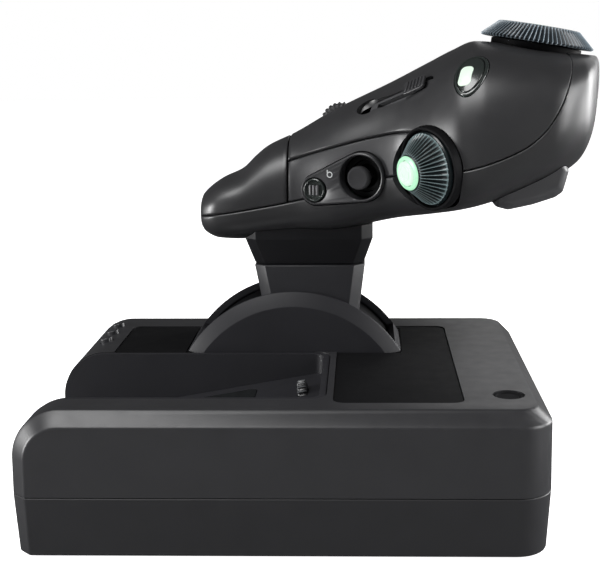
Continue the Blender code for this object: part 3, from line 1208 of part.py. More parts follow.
def build_knob(lever):
    """Fluted thumb knob in its well, with a push button in its end and a potentiometer behind."""
    frame = knob_frame()
    well_radius = KNOB_RADIUS + KNOB_WELL_MARGIN
    floor = -GAP - KNOB_WELL_FLOOR
    rim = KNOB_SINK - GAP
    bore = SHAFT_RADIUS + GAP
    outside = well_radius + KNOB_WELL_WALL
    well = turned(((bore, floor), (outside, floor), (outside, rim),
                   (well_radius, rim), (well_radius, -GAP), (bore, -GAP)), hollow=True)
    piece("knob_well", well, "deck", lever, frame)
    shaft_low = floor - GAP - CONTROL_POT_LENGTH / 2
    recess = KNOB_LENGTH - KNOB_BUTTON_DEPTH
    button_bore = KNOB_BUTTON_RADIUS + GAP
    profile = ((SHAFT_RADIUS, shaft_low, 0.0), (SHAFT_RADIUS, 0.0, 0.0), (KNOB_RADIUS - GAP, 0.0, 1.0),
               (KNOB_RADIUS, GAP, 1.0), (KNOB_RADIUS, KNOB_RIM, 1.0), (KNOB_TIP_RADIUS, KNOB_LENGTH, 0.3),
               (button_bore, KNOB_LENGTH, 0.0), (button_bore, recess, 0.0))
    piece("thumb_knob", fluted(profile, KNOB_FLUTES, KNOB_FLUTE_DEPTH), "knob", lever, frame)
    button = turned(((KNOB_BUTTON_RADIUS, recess + BUTTON_TRAVEL + GAP),
                     (KNOB_BUTTON_RADIUS, KNOB_LENGTH + GAP),
                     (KNOB_BUTTON_RADIUS - 2 * GAP, KNOB_LENGTH + 2 * GAP)))
    piece("knob_button", button, "lit", lever, frame)
    piece("knob_pot", pot_shape(), "metal", lever, frame @ Matrix.Translation((0.0, 0.0, floor - GAP)))


def build_dial(lever):
    """Fluted top dial on its base, with a lit push button and a potentiometer inside the grip."""
    frame = dial_frame()
    bore = SHAFT_RADIUS + GAP
    low = -GRIP_WALL - DIAL_LIFT
    flange = 3 * GAP
    seat = DIAL_LIFT - GAP
    base = turned(((bore, low), (DIAL_STEM_RADIUS, low), (DIAL_STEM_RADIUS, flange),
                   (DIAL_BASE_RADIUS, flange), (DIAL_BASE_RADIUS, seat), (bore, seat)), hollow=True)
    piece("dial_base", base, "deck", lever, frame)
    top = DIAL_LIFT + DIAL_HEIGHT
    recess = top - DIAL_BUTTON_DEPTH
    button_bore = DIAL_BUTTON_RADIUS + GAP
    shaft_low = low - GAP - CONTROL_POT_LENGTH / 2
    profile = ((SHAFT_RADIUS, shaft_low, 0.0), (SHAFT_RADIUS, DIAL_LIFT, 0.0),
               (DIAL_RADIUS - GAP, DIAL_LIFT, 1.0), (DIAL_RADIUS, DIAL_LIFT + GAP, 1.0),
               (DIAL_RADIUS, DIAL_LIFT + DIAL_RIM, 1.0), (DIAL_TOP_RADIUS, top, 0.4),
               (button_bore, top, 0.0), (button_bore, recess, 0.0))
    piece("top_dial", fluted(profile, DIAL_FLUTES, DIAL_FLUTE_DEPTH), "knob", lever, frame)
    button = turned(((DIAL_BUTTON_RADIUS, recess + BUTTON_TRAVEL + GAP), (DIAL_BUTTON_RADIUS, top),
                     (DIAL_BUTTON_RADIUS - 2 * GAP, top + GAP)))
    piece("dial_button", button, "lit", lever, frame)
    piece("dial_pot", pot_shape(), "metal", lever, frame @ Matrix.Translation((0.0, 0.0, low - GAP)))


def build_cover_controls(lever):
    """Slide control, lit button and scroll wheel on the top cover."""
    slide = grip_frame(SLIDE_AT_X, SLIDE_AT_TURN_DEG)
    half_l, half_w = SLIDE_SLOT_LENGTH / 2 - GAP, SLIDE_SLOT_WIDTH / 2 - GAP
    sink = -2 * GAP
    track = rounded_outline((-half_l, half_l), (-half_w, half_w), half_w - GAP)
    pot = piece("slide_pot", prism(track, -SLIDE_POT_DEPTH, sink), "deck", lever, slide)
    groove_half = SLIDE_STEM_WIDTH / 2 + GAP
    stem_low = sink - SLIDE_POT_DEPTH / 2
    travel = SLIDE_TRAVEL / 2 + SLIDE_STEM_WIDTH + GAP
    groove = block((-travel, travel), (-groove_half, groove_half), (stem_low - GAP, OVERSHOOT))
    cut(pot, groove, slide)
    at_rest = slide @ Matrix.Translation((SLIDE_TRAVEL / 2 - SLIDE_CAP_WIDTH / 4, 0.0, 0.0))
    cap_half_l, cap_half_w = SLIDE_CAP_LENGTH / 2, SLIDE_CAP_WIDTH / 2
    cap = rounded_outline((-cap_half_l, cap_half_l), (-cap_half_w, cap_half_w), SLIDE_CAP_CORNER)
    slider = piece("slider_cap", prism(cap, SLIDE_CAP_LIFT, SLIDE_CAP_HEIGHT), "grip", lever, at_rest)
    half = SLIDE_STEM_WIDTH / 2
    join(slider, block((-half, half), (-half, half), (stem_low, SLIDE_CAP_HEIGHT - GAP)), at_rest)
    lamp = grip_frame(LAMP_AT_X, LAMP_AT_TURN_DEG)
    bezel = piece("lamp_bezel", prism(lamp_outline(0.0), -LAMP_DEPTH, LAMP_PROUD), "deck", lever, lamp)
    cut(bezel, prism(lamp_outline(GAP - LAMP_RIM), -LAMP_DEPTH / 2, OVERSHOOT), lamp)
    lens = prism(lamp_outline(-LAMP_RIM), -LAMP_DEPTH / 2 + BUTTON_TRAVEL + GAP, LAMP_PROUD + 2 * GAP)
    piece("lamp_button", lens, "lit", lever, lamp)
    half = SCROLL_WIDTH / 2
    profile = ((SCROLL_RADIUS - 2 * GAP, -half, 1.0), (SCROLL_RADIUS, -half + GAP, 1.0),
               (SCROLL_RADIUS, half - GAP, 1.0), (SCROLL_RADIUS - 2 * GAP, half, 1.0))
    piece("scroll_wheel", fluted(profile, SCROLL_FLUTES, SCROLL_FLUTE_DEPTH), "rubber", lever,
          scroll_frame() @ Matrix.Rotation(math.pi / 2, 4, "X"))


def build_grip_board(lever):
    """Board inside the grip, on top of the lever arm."""
    low = ARM_TOP + GAP
    half_l, half_w = GRIP_BOARD_LENGTH / 2, GRIP_BOARD_WIDTH / 2
    along = (ARM_MIDDLE_X - half_l, ARM_MIDDLE_X + half_l)
    board = block(along, (-half_w, half_w), (low, low + BOARD_THICKNESS))
    piece("grip_board", board, "board", lever)


def main():
    """Build the whole unit with its origin under the middle of its box."""
    clear_scene()
    root = empty("throttle_unit", (-(FRONT_X + NOSE_X) / 2, 0.0, 0.0))
    lever = empty("lever_pivot", (0.0, LEVER_Y, PIVOT_Z), root)
    build_tray(root)
    build_cover(root)
    build_deck(root)
    build_hood(root)
    build_display(root)
    build_mode_buttons(root)
    build_fixings(root)
    build_pivot(root)
    build_gears(root, lever)
    build_lever(lever)
    build_shells(lever)
    build_finger_rest(lever)
    build_thumb_controls(lever)
    build_knob(lever)
    build_dial(lever)
    build_cover_controls(lever)
    build_grip_board(lever)


main()
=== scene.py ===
"""Dressed model of a desk throttle unit: sculpted grip, fluted controls and a moulded base on its CAD frame.

Sizes are in millimetres. Pieces of the base are drawn from the desk under the middle of the base, and pieces
of the lever from the lever's pivot. +X runs away from the user, +Y to the user's left and +Z up.
"""

import logging
import math
from dataclasses import dataclass, field, replace
from enum import Enum
from typing import Callable, Sequence

import bmesh
import bpy
import numpy as np
from mathutils import Matrix, Vector


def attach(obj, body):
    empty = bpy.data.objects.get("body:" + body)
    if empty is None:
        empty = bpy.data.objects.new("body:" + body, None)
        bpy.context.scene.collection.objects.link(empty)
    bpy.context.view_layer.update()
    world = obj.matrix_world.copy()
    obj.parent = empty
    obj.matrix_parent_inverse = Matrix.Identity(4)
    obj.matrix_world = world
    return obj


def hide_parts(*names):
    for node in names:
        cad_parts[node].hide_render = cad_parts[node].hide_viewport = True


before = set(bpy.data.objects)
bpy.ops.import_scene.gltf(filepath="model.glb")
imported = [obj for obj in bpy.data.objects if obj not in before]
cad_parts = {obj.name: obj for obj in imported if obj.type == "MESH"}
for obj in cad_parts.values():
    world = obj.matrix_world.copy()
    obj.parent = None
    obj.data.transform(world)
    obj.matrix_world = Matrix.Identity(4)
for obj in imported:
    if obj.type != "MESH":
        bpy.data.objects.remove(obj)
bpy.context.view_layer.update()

MM = 0.001
GAP = 0.3  # clearance between pieces that touch
PAST = 6.0  # how far a cutter reaches past the wall that it cuts
ROUND = 72  # steps round a large circle
SMALL_ROUND = 36  # steps round a small circle
SHARP_DEG = 34.0  # edges that turn more than this stay crisp
WELD = 2e-6  # metres within which points become one
SLIVER = 1e-7  # metres under which an edge is dropped
SAME_PLACE = 1e-4  # distance within which two points of a line are one
FLAT_TURN = 1e-3  # how near a corner's half angle may come to folded or straight
SIDE_SHARE = 0.49  # share of a side that one fillet may use
TINY = 1e-9  # least length to divide by
CROWN_STEPS = 6  # steps from a pillow's rim to its middle
RIB_STRETCH = 1.45  # stretch of a rib's wave, which widens its groove
RIB_CREST = 0.28  # part of the wave that is cut off as a flat crest
RIB_ATTRIBUTE = "rib"
MIX_SHARE, MIX_FIRST, MIX_SECOND, MIX_RESULT = 0, 6, 7, 2  # colour sockets of a mix node
UP = (0.0, 0.0, 1.0)

Pair = tuple[float, float]
Colour = tuple[float, float, float]
Points = Sequence[Sequence[float]]
Socket = bpy.types.NodeSocket

log = logging.getLogger("throttle_looks")


class Datum(Enum):
    """Point of the row frame that a piece's own millimetres start from."""

    BASE = (-13.2, 0.0, 0.0)
    LEVER = (-13.2, 28.15, 23.9)


class Slot(str, Enum):
    """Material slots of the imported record."""

    CASE = "case"
    DECK = "deck"
    GRIP = "grip"
    KNOB = "knob"
    LIT = "lit"
    RUBBER = "rubber"
    WINDOW = "window"
    BOARD = "board"
    METAL = "metal"
    GEAR = "gear"


# Shapes


def unit(vector: Sequence[float]) -> np.ndarray:
    """Vector of length one along another."""
    values = np.asarray(vector, float)
    return values / np.linalg.norm(values)


@dataclass(frozen=True)
class Placement:
    """Where a shape's own axes lie.

    Attributes:
        origin: Point that its own zero goes to.
        axes: Directions of its own X, Y and Z, one to a row.
    """

    origin: np.ndarray
    axes: np.ndarray

    @classmethod
    def facing(cls, origin: Sequence[float], outward: Sequence[float],
               along: Sequence[float] = (1.0, 0.0, 0.0)) -> "Placement":
        """Placement whose Z runs outward and whose X lies as near as it can to along.

        Args:
            origin: Point that it starts from.
            outward: Direction of its Z.
            along: Direction that its X leans to.

        Returns:
            The placement.
        """
        up = unit(outward)
        lean = np.asarray(along, float)
        side = unit(lean - up * np.dot(lean, up))
        return cls(np.asarray(origin, float), np.stack((side, np.cross(up, side), up)))

    def carry(self, points: np.ndarray) -> np.ndarray:
        """Points given in this placement's own axes."""
        return points @ self.axes + self.origin

    def shifted(self, x: float = 0.0, y: float = 0.0, z: float = 0.0) -> "Placement":
        """Same axes, moved along themselves."""
        return Placement(self.carry(np.array((x, y, z))), self.axes)


@dataclass
class Shape:
    """Points with the quads and the flat ends between them.

    Attributes:
        points: One point to a row.
        quads: Point numbers, four to a row.
        ends: Point numbers round each flat end.
        marks: Depth of each point in a rib, from 0 on its crest to 1 at its foot, which sets a ribbed
            finish's painted shade.
    """

    points: np.ndarray
    quads: np.ndarray
    ends: list[np.ndarray] = field(default_factory=list)
    marks: np.ndarray | None = None

    def at(self, place: Placement) -> "Shape":
        """Same shape carried to a placement."""
        return replace(self, points=place.carry(self.points))


def together(*shapes: Shape) -> Shape:
    """Shapes in one, with their surfaces left apart.

    Args:
        *shapes: Shapes to join.

    Returns:
        One shape.
    """
    starts = np.cumsum([0] + [len(shape.points) for shape in shapes])
    quads = [shape.quads + start for shape, start in zip(shapes, starts)]
    ends = [end + start for shape, start in zip(shapes, starts) for end in shape.ends]
    return Shape(np.vstack([shape.points for shape in shapes]), np.vstack(quads), ends)


def grid_quads(rows: int, columns: int, wrap_rows: bool, wrap_columns: bool) -> np.ndarray:
    """Quads of a grid of points, one to each cell: (r, c), (r, c+1), (r+1, c+1), (r+1, c).

    Args:
        rows: Rows of points.
        columns: Points in a row.
        wrap_rows: Whether the last row joins the first.
        wrap_columns: Whether the last point of a row joins its first.

    Returns:
        Point numbers, four to a row.
    """
    r = np.arange(rows if wrap_rows else rows - 1)[:, None]
    c = np.arange(columns if wrap_columns else columns - 1)[None, :]
    below, beside = (r + 1) % rows * columns, (c + 1) % columns
    cells = np.broadcast_arrays(r * columns + c, r * columns + beside, below + beside, below + c)
    return np.stack(cells, axis=-1).reshape(-1, 4)


def loft(rings: np.ndarray, wrap: bool = False) -> Shape:
    """Skin through closed rings of equal length, with a flat end at each side unless the rings wrap round.

    Args:
        rings: Array of rings, points and coordinates.
        wrap: Whether the last ring joins the first.

    Returns:
        The skin.
    """
    rows, columns = rings.shape[:2]
    last = (rows - 1) * columns
    ends = [] if wrap else [np.arange(columns), last + np.arange(columns)]
    return Shape(rings.reshape(-1, 3), grid_quads(rows, columns, wrap, True), ends)


def arc(middle: Sequence[float], radius: float, start_deg: float, end_deg: float, steps: int) -> np.ndarray:
    """Points at equal turns along a circle, both ends included.

    Args:
        middle: Centre of the circle.
        radius: Its radius.
        start_deg: First turn.
        end_deg: Last turn.
        steps: Steps between them.

    Returns:
        Flat points.
    """
    turn = np.radians(np.linspace(start_deg, end_deg, steps + 1))
    return np.column_stack((middle[0] + radius * np.cos(turn), middle[1] + radius * np.sin(turn)))


def filleted(corners: Points, radii: float | Sequence[float], steps: int = 5,
             closed: bool = True) -> np.ndarray:
    """Line through corners that are rounded by arcs which touch both sides of each corner.

    An arc starts r / tan(a/2) before its corner, where a is the angle between the sides, and turns about a
    point r / sin(a/2) away on the middle line of the two sides.

    Args:
        corners: Flat corner points.
        radii: One radius, or one for each corner.
        steps: Steps of each arc.
        closed: Whether the last corner joins the first.

    Returns:
        Flat points without repeats.
    """
    points = np.asarray(corners, float)
    back, ahead = np.roll(points, 1, axis=0) - points, np.roll(points, -1, axis=0) - points
    back_length, ahead_length = np.linalg.norm(back, axis=1), np.linalg.norm(ahead, axis=1)
    u, v = back / back_length[:, None], ahead / ahead_length[:, None]
    half = 0.5 * np.arccos(np.clip(np.sum(u * v, axis=1), -1.0, 1.0))
    half = np.clip(half, FLAT_TURN, 0.5 * np.pi - FLAT_TURN)
    wanted = np.broadcast_to(np.asarray(radii, float), len(points)).copy()
    if not closed:
        wanted[[0, -1]] = 0.0
    reach = np.minimum(wanted / np.tan(half), SIDE_SHARE * np.minimum(back_length, ahead_length))
    radius = reach * np.tan(half)
    middle_line = u + v
    middle_line /= np.maximum(np.linalg.norm(middle_line, axis=1), TINY)[:, None]
    centre = points + middle_line * (radius / np.sin(half))[:, None]
    start, end = points + u * reach[:, None] - centre, points + v * reach[:, None] - centre
    sweep = (np.pi - 2.0 * half)[:, None, None]
    share = np.linspace(0.0, 1.0, steps + 1)[None, :, None]
    bend = np.sin((1.0 - share) * sweep) * start[:, None] + np.sin(share * sweep) * end[:, None]
    line = (centre[:, None] + bend / np.sin(sweep)).reshape(-1, 2)
    keep = np.linalg.norm(line - np.roll(line, 1, axis=0), axis=1) > SAME_PLACE
    keep[0] |= not closed
    return line[keep]


def grown(outline: np.ndarray, amount: float) -> np.ndarray:
    """Closed outline moved outwards: each point goes along the mitre of the normals of its two sides.

    Args:
        outline: Flat points in order.
        amount: How far to move, inwards where it is negative.

    Returns:
        Moved points.
    """
    side = np.roll(outline, -1, axis=0) - outline
    area = np.sum(outline[:, 0] * np.roll(outline[:, 1], -1) - np.roll(outline[:, 0], -1) * outline[:, 1])
    normal = np.column_stack((side[:, 1], -side[:, 0])) / np.linalg.norm(side, axis=1)[:, None]
    before = np.roll(normal, 1, axis=0)
    mitre = (before + normal) / (1.0 + np.sum(before * normal, axis=1))[:, None]
    return outline + np.sign(area) * amount * mitre


def rounded_rectangle(half_x: float, half_y: float, radius: float, steps: int = 8) -> np.ndarray:
    """Rectangle about zero with round corners."""
    corners = ((-half_x, -half_y), (half_x, -half_y), (half_x, half_y), (-half_x, half_y))
    return filleted(corners, radius, steps)


def leaned(outline: np.ndarray, lean_deg: float) -> np.ndarray:
    """Flat outline turned about zero."""
    turn = math.radians(lean_deg)
    return outline @ np.array(((math.cos(turn), math.sin(turn)), (-math.sin(turn), math.cos(turn))))


def two_circle_outline(span: float, rise: float, small: float, large: float, steps: int = 28) -> np.ndarray:
    """Outline drawn tight round a small circle and a large one.

    The straight sides leave both circles at a right angle plus asin((large - small) / distance) from the line
    of their middles.

    Args:
        span: How far apart the middles are along X.
        rise: How far apart they are along Y.
        small: Radius of the first circle.
        large: Radius of the second.
        steps: Steps round each circle.

    Returns:
        Flat points.
    """
    lean = math.degrees(math.atan2(rise, span))
    open_deg = 90.0 + math.degrees(math.asin((large - small) / math.hypot(span, rise)))
    first, second = (-span / 2, -rise / 2), (span / 2, rise / 2)
    return np.vstack((arc(second, large, lean - open_deg, lean + open_deg, steps),
                      arc(first, small, lean + open_deg, lean + 360.0 - open_deg, steps)))


def levels(outlines: Sequence[np.ndarray], heights: Sequence[float]) -> Shape:
    """Flat outlines of equal length set at heights and skinned in order."""
    columns = [np.column_stack((flat, np.full(len(flat), z))) for flat, z in zip(outlines, heights)]
    return loft(np.stack(columns))


def levels_between(outline: np.ndarray, low: np.ndarray, high: np.ndarray) -> Shape:
    """Upright shape over an outline between two heights given at each of its points."""
    return loft(np.stack((np.column_stack((outline, low)), np.column_stack((outline, high)))))


def prism(outline: np.ndarray, low: float, high: float) -> Shape:
    """Outline raised straight from one height to another."""
    return levels((outline, outline), (low, high))


def side_prism(outline: np.ndarray, near: float, far: float) -> Shape:
    """Outline in X and Z carried straight along Y."""
    rings = [np.column_stack((outline[:, 0], np.full(len(outline), y), outline[:, 1])) for y in (near, far)]
    return loft(np.stack(rings))


def block(x_span: Sequence[float], y_span: Sequence[float], z_span: Sequence[float]) -> Shape:
    """Box between pairs of limits, used as a cutter."""
    (x0, x1), (y0, y1) = x_span, y_span
    return prism(np.array(((x0, y0), (x1, y0), (x1, y1), (x0, y1))), *z_span)


def pillow(outline: np.ndarray, low: float, high: float, edge: float, foot_edge: float = 0.0,
           crown: float = 0.0, steps: int = 5) -> Shape:
    """Outline raised with a rounded rim: near the rim it draws in by e(1 - cos t) as it rises by e sin t.

    Args:
        outline: Flat points in order.
        low: Height of its foot.
        high: Height of its rim.
        edge: Radius of the upper rim.
        foot_edge: Radius of the lower rim.
        crown: How far the top swells above its rim, as a parabola towards its middle.
        steps: Steps round each rim.

    Returns:
        A closed shape.
    """
    turn = np.linspace(0.0, 0.5 * np.pi, steps + 1)
    inset = np.concatenate((foot_edge * (1.0 - np.sin(turn)), edge * (1.0 - np.cos(turn))))
    height = np.concatenate((low + foot_edge * (1.0 - np.cos(turn)), high - edge * (1.0 - np.sin(turn))))
    flats = [grown(outline, -amount) for amount in inset]
    if crown:
        share = np.linspace(1.0, 0.0, CROWN_STEPS + 1)[1:]
        middle = flats[-1].mean(axis=0)
        flats += [middle + (flats[-1] - middle) * part for part in share]
        height = np.concatenate((height, high + crown * (1.0 - share**2)))
    return levels(flats, height)


def lathe(profile: np.ndarray, steps: int = ROUND, wrap: bool = False) -> Shape:
    """Profile of radius and height turned about Z: (r cos t, r sin t, h).

    Args:
        profile: Radius and height of each point.
        steps: Steps round the axis.
        wrap: Whether the profile closes on itself, as a ring's does.

    Returns:
        The turned skin.
    """
    turn = np.linspace(0.0, 2.0 * np.pi, steps, endpoint=False)
    radius, height = np.asarray(profile, float)[:, :2].T
    rings = (radius[:, None] * np.cos(turn), radius[:, None] * np.sin(turn), height[:, None] + 0.0 * turn)
    return loft(np.stack(rings, axis=-1), wrap)


def turned(corners: Points, radii: float | Sequence[float], steps: int = ROUND) -> Shape:
    """Turned solid whose profile has rounded corners and starts and ends on its axis."""
    return lathe(filleted(corners, radii, closed=False), steps)


def turned_ring(corners: Points, radii: float | Sequence[float], steps: int = ROUND) -> Shape:
    """Turned ring whose closed profile has rounded corners."""
    return lathe(filleted(corners, radii), steps, wrap=True)


def rod(radius: float, low: float, high: float, steps: int = SMALL_ROUND) -> Shape:
    """Straight round cutter along Z."""
    return lathe(np.array(((radius, low), (radius, high))), steps)


def ribbed(profile: np.ndarray, ribs: int, depth: float, lean_deg: float = 0.0, per_rib: int = 10) -> Shape:
    """Turned solid with ribs: radius - share * depth * w, where w is 0 on flat crests and 1 in wide grooves.

    w is |sin(ribs * t / 2)| stretched and held between 0 and 1, and the turn t leans along the height.

    Args:
        profile: Radius, height and share of the rib depth of each point.
        ribs: Ribs round the axis.
        depth: Depth of a groove.
        lean_deg: Turn of a rib from the foot to the top.
        per_rib: Steps over each rib.

    Returns:
        The skin, with rib depths as its marks.
    """
    radius, height, share = (column[:, None] for column in np.asarray(profile, float).T)
    rise = (height - height.min()) / (height.max() - height.min())
    turn = np.linspace(0.0, 2.0 * np.pi, ribs * per_rib, endpoint=False)
    wave = np.clip(RIB_STRETCH * np.abs(np.sin(ribs * turn / 2.0)) - RIB_CREST, 0.0, 1.0)
    reach = radius - share * depth * wave
    around = turn + math.radians(lean_deg) * rise
    shape = loft(np.stack((reach * np.cos(around), reach * np.sin(around), height + 0.0 * turn), axis=-1))
    return replace(shape, marks=np.where(share > 0.0, share * wave, 1.0).ravel())


def both_sides(profile: Points) -> np.ndarray:
    """Ribbed profile below zero followed by its mirror image above."""
    lower = np.asarray(profile, float)
    return np.vstack((lower, lower[::-1] * (1.0, -1.0, 1.0)))


def monotone(points: Points, x: np.ndarray) -> np.ndarray:
    """Smooth curve through given points that never overshoots them.

    Each span is a cubic whose end slopes are the weighted harmonic mean of the slopes beside them, or zero
    where those slopes differ in sign.

    Args:
        points: Places and values, in order of place.
        x: Places to read.

    Returns:
        Values there.
    """
    px, py = np.asarray(points, float).T
    step = np.diff(px)
    slope = np.diff(py) / step
    before, after = slope[:-1], slope[1:]
    same = before * after > 0.0
    first, second = 2.0 * step[1:] + step[:-1], step[1:] + 2.0 * step[:-1]
    mean = (first + second) / (first / np.where(same, before, 1.0) + second / np.where(same, after, 1.0))
    tangent = np.concatenate(([slope[0]], np.where(same, mean, 0.0), [slope[-1]]))
    k = np.clip(np.searchsorted(px, x) - 1, 0, len(px) - 2)
    t = (x - px[k]) / step[k]
    blend = py[k] * (1 + 2 * t) * (1 - t) ** 2 + py[k + 1] * t**2 * (3 - 2 * t)
    return blend + step[k] * (tangent[k] * t * (1 - t) ** 2 - tangent[k + 1] * t**2 * (1 - t))


# Finishes


def connect(tree: bpy.types.NodeTree, node: bpy.types.Node, **sockets: object) -> bpy.types.Node:
    """Put constants and links on a node's sockets.

    Args:
        tree: Tree that the node is in.
        node: The node.
        **sockets: Constant or source of each socket, with _ for a space in its name.

    Returns:
        The same node.
    """
    for name, value in sockets.items():
        target = node.inputs[name.replace("_", " ")]
        if isinstance(value, Socket):
            tree.links.new(value, target)
        else:
            target.default_value = value
    return node


class Graph:
    """Node graph of one material, with the textures that the finishes share."""

    def __init__(self, name: str) -> None:
        """Start a principled material on Object coordinates.

        Args:
            name: Name of the material.
        """
        self.material = bpy.data.materials.new(name)
        self.material.use_nodes = True
        self.tree = self.material.node_tree
        self.shader = self.tree.nodes["Principled BSDF"]
        self.place = self.node("TexCoord").outputs["Object"]

    def node(self, kind: str, **sockets: object) -> bpy.types.Node:
        """New node of a kind, with what its sockets hold."""
        return connect(self.tree, self.tree.nodes.new(f"ShaderNode{kind}"), **sockets)

    def set(self, **sockets: object) -> None:
        """Constants and links on the shader's own sockets."""
        connect(self.tree, self.shader, **sockets)

    def noise(self, size: float, detail: float = 3.0, stretch: Sequence[float] = (1.0, 1.0, 1.0)) -> Socket:
        """Cloudy pattern between 0 and 1.

        Args:
            size: Width of its patches in millimetres.
            detail: Octaves of finer patches.
            stretch: How much finer it is along each axis.

        Returns:
            Its value.
        """
        place = self.node("Mapping", Scale=stretch, Vector=self.place).outputs["Vector"]
        return self.node("TexNoise", Scale=1.0 / (size * MM), Detail=detail, Vector=place).outputs[0]

    def cells(self, size: float) -> Socket:
        """Distance from the middles of small random cells of a width in millimetres."""
        return self.node("TexVoronoi", Scale=1.0 / (size * MM), Vector=self.place).outputs["Distance"]

    def spread(self, source: Socket, low: float, high: float, start: float = 0.3, end: float = 0.7) -> Socket:
        """Value from low to high as a source goes from start to end."""
        node = self.node("MapRange", From_Min=start, From_Max=end, To_Min=low, To_Max=high, Value=source)
        return node.outputs["Result"]

    def tint(self, share: Socket, first: Colour, second: Colour) -> None:
        """Base colour that goes from the first to the second as a share grows.

        Args:
            share: Source between 0 and 1.
            first: Colour at 0.
            second: Colour at 1.
        """
        node = self.node("Mix")
        node.data_type = "RGBA"
        node.inputs[MIX_FIRST].default_value = (*first, 1.0)
        node.inputs[MIX_SECOND].default_value = (*second, 1.0)
        self.tree.links.new(share, node.inputs[MIX_SHARE])
        self.set(Base_Color=node.outputs[MIX_RESULT])

    def gloss(self, source: Socket, low: float, high: float) -> None:
        """Roughness that goes from low to high with a source."""
        self.set(Roughness=self.spread(source, low, high))

    def relief(self, source: Socket, depth: float) -> None:
        """Surface relief of a depth in millimetres."""
        self.set(Normal=self.node("Bump", Distance=depth * MM, Height=source).outputs["Normal"])


def shade(colour: Colour, factor: float) -> tuple[float, ...]:
    """Colour made lighter or darker."""
    return tuple(min(part * factor, 1.0) for part in colour)


@dataclass(frozen=True)
class Finish:
    """What a surface is made of, as a material that is made once.

    Attributes:
        name: Name of the material.
    """

    name: str

    def paint(self, graph: Graph) -> None:
        """Give the material its colour, gloss and relief."""
        raise NotImplementedError

    def material(self) -> bpy.types.Material:
        """Material of the finish.

        Returns:
            The material, made at the first call.
        """
        found = bpy.data.materials.get(self.name)
        if found:
            return found
        graph = Graph(self.name)
        self.paint(graph)
        return graph.material


@dataclass(frozen=True)
class MouldedPlastic(Finish):
    """Spark-eroded plastic: fine grain, cloudy gloss and slightly uneven colour.

    Attributes:
        colour: Its colour.
        rough: Middle of its roughness.
        uneven: Share that the colour varies by.
        grain: Width of the grain in millimetres.
        depth: Depth of the grain in millimetres.
        coat: Share of clear gloss over it.
        shine: Strength of its reflections, 0.5 for bare plastic.
    """

    colour: Colour
    rough: float = 0.45
    uneven: float = 0.14
    grain: float = 0.4
    depth: float = 0.010
    coat: float = 0.0
    shine: float = 0.36

    def paint(self, graph: Graph) -> None:
        """Cloudy colour and gloss with a fine grain.

        Args:
            graph: Graph of the material.
        """
        graph.set(Coat_Weight=self.coat, Coat_Roughness=0.12, Specular_IOR_Level=self.shine)
        pale, dark = shade(self.colour, 1.0 + self.uneven), shade(self.colour, 1.0 - self.uneven)
        graph.tint(graph.noise(size=14.0, detail=4.0), dark, pale)
        graph.gloss(graph.noise(size=5.0, detail=5.0), low=self.rough - 0.025, high=self.rough + 0.03)
        graph.relief(graph.noise(self.grain, detail=2.0), self.depth)


@dataclass(frozen=True)
class RibbedPlastic(Finish):
    """Moulded ribs with a painted highlight on their crests and painted shade in their grooves.

    Attributes:
        crest: Colour of the crests, made pale as a painted highlight.
        groove: Colour of the grooves, made dark as painted shade.
        rough: Middle of its roughness.
        shade_reach: Share of a rib's depth over which the colour goes from painted highlight to painted
            shade.
    """

    crest: Colour
    groove: Colour
    rough: float = 0.34
    shade_reach: float = 0.35

    def paint(self, graph: Graph) -> None:
        """Painted highlight and painted shade by the depth in a rib: pale crests, dark grooves.

        Args:
            graph: Graph of the material.
        """
        ribs = graph.node("Attribute")
        ribs.attribute_name = RIB_ATTRIBUTE
        # painted shade: the colour darkens with depth into a rib's groove, and the pale crest is a painted
        # highlight
        depth = graph.spread(ribs.outputs["Fac"], 0.0, 1.0, start=0.0, end=self.shade_reach)
        graph.tint(depth, self.crest, self.groove)
        graph.gloss(graph.noise(size=2.5, detail=4.0), low=self.rough - 0.06, high=self.rough + 0.08)
        graph.relief(graph.noise(size=0.3, detail=2.0), depth=0.006)


@dataclass(frozen=True)
class SoftRubber(Finish):
    """Matt rubber with a dusty bloom and a coarse pore."""

    colour: Colour = (0.007, 0.007, 0.0075)
    shine: float = 0.03

    def paint(self, graph: Graph) -> None:
        """Dusty colour over small pores.

        Args:
            graph: Graph of the material.
        """
        graph.set(Specular_IOR_Level=self.shine)
        graph.tint(graph.noise(size=6.0, detail=5.0), shade(self.colour, 0.8), shade(self.colour, 1.6))
        graph.gloss(graph.noise(size=3.0), low=0.72, high=0.9)
        graph.relief(graph.cells(size=0.5), depth=0.02)


@dataclass(frozen=True)
class MachinedMetal(Finish):
    """Bare metal with fine tool marks along one axis."""

    colour: Colour
    rough: float = 0.32
    marks: tuple[float, float, float] = (0.06, 1.0, 1.0)

    def paint(self, graph: Graph) -> None:
        """Metal brushed along its tool marks.

        Args:
            graph: Graph of the material.
        """
        graph.set(Metallic=1.0)
        brushing = graph.noise(size=0.35, stretch=self.marks)
        graph.tint(graph.noise(size=8.0, detail=4.0), shade(self.colour, 0.82), shade(self.colour, 1.08))
        graph.gloss(brushing, low=self.rough - 0.08, high=self.rough + 0.12)
        graph.relief(brushing, depth=0.008)


@dataclass(frozen=True)
class CircuitBoard(Finish):
    """Solder-masked board with paler copper runs under the mask."""

    mask: Colour = (0.008, 0.06, 0.025)
    copper: Colour = (0.03, 0.13, 0.045)

    def paint(self, graph: Graph) -> None:
        """Long copper runs that stand out a little.

        Args:
            graph: Graph of the material.
        """
        patches = graph.noise(size=2.2, detail=0.0, stretch=(1.0, 0.12, 1.0))
        runs = graph.spread(patches, 0.0, 1.0, start=0.49, end=0.53)
        graph.tint(runs, self.mask, self.copper)
        graph.gloss(graph.noise(size=4.0), low=0.35, high=0.5)
        graph.relief(runs, depth=0.03)


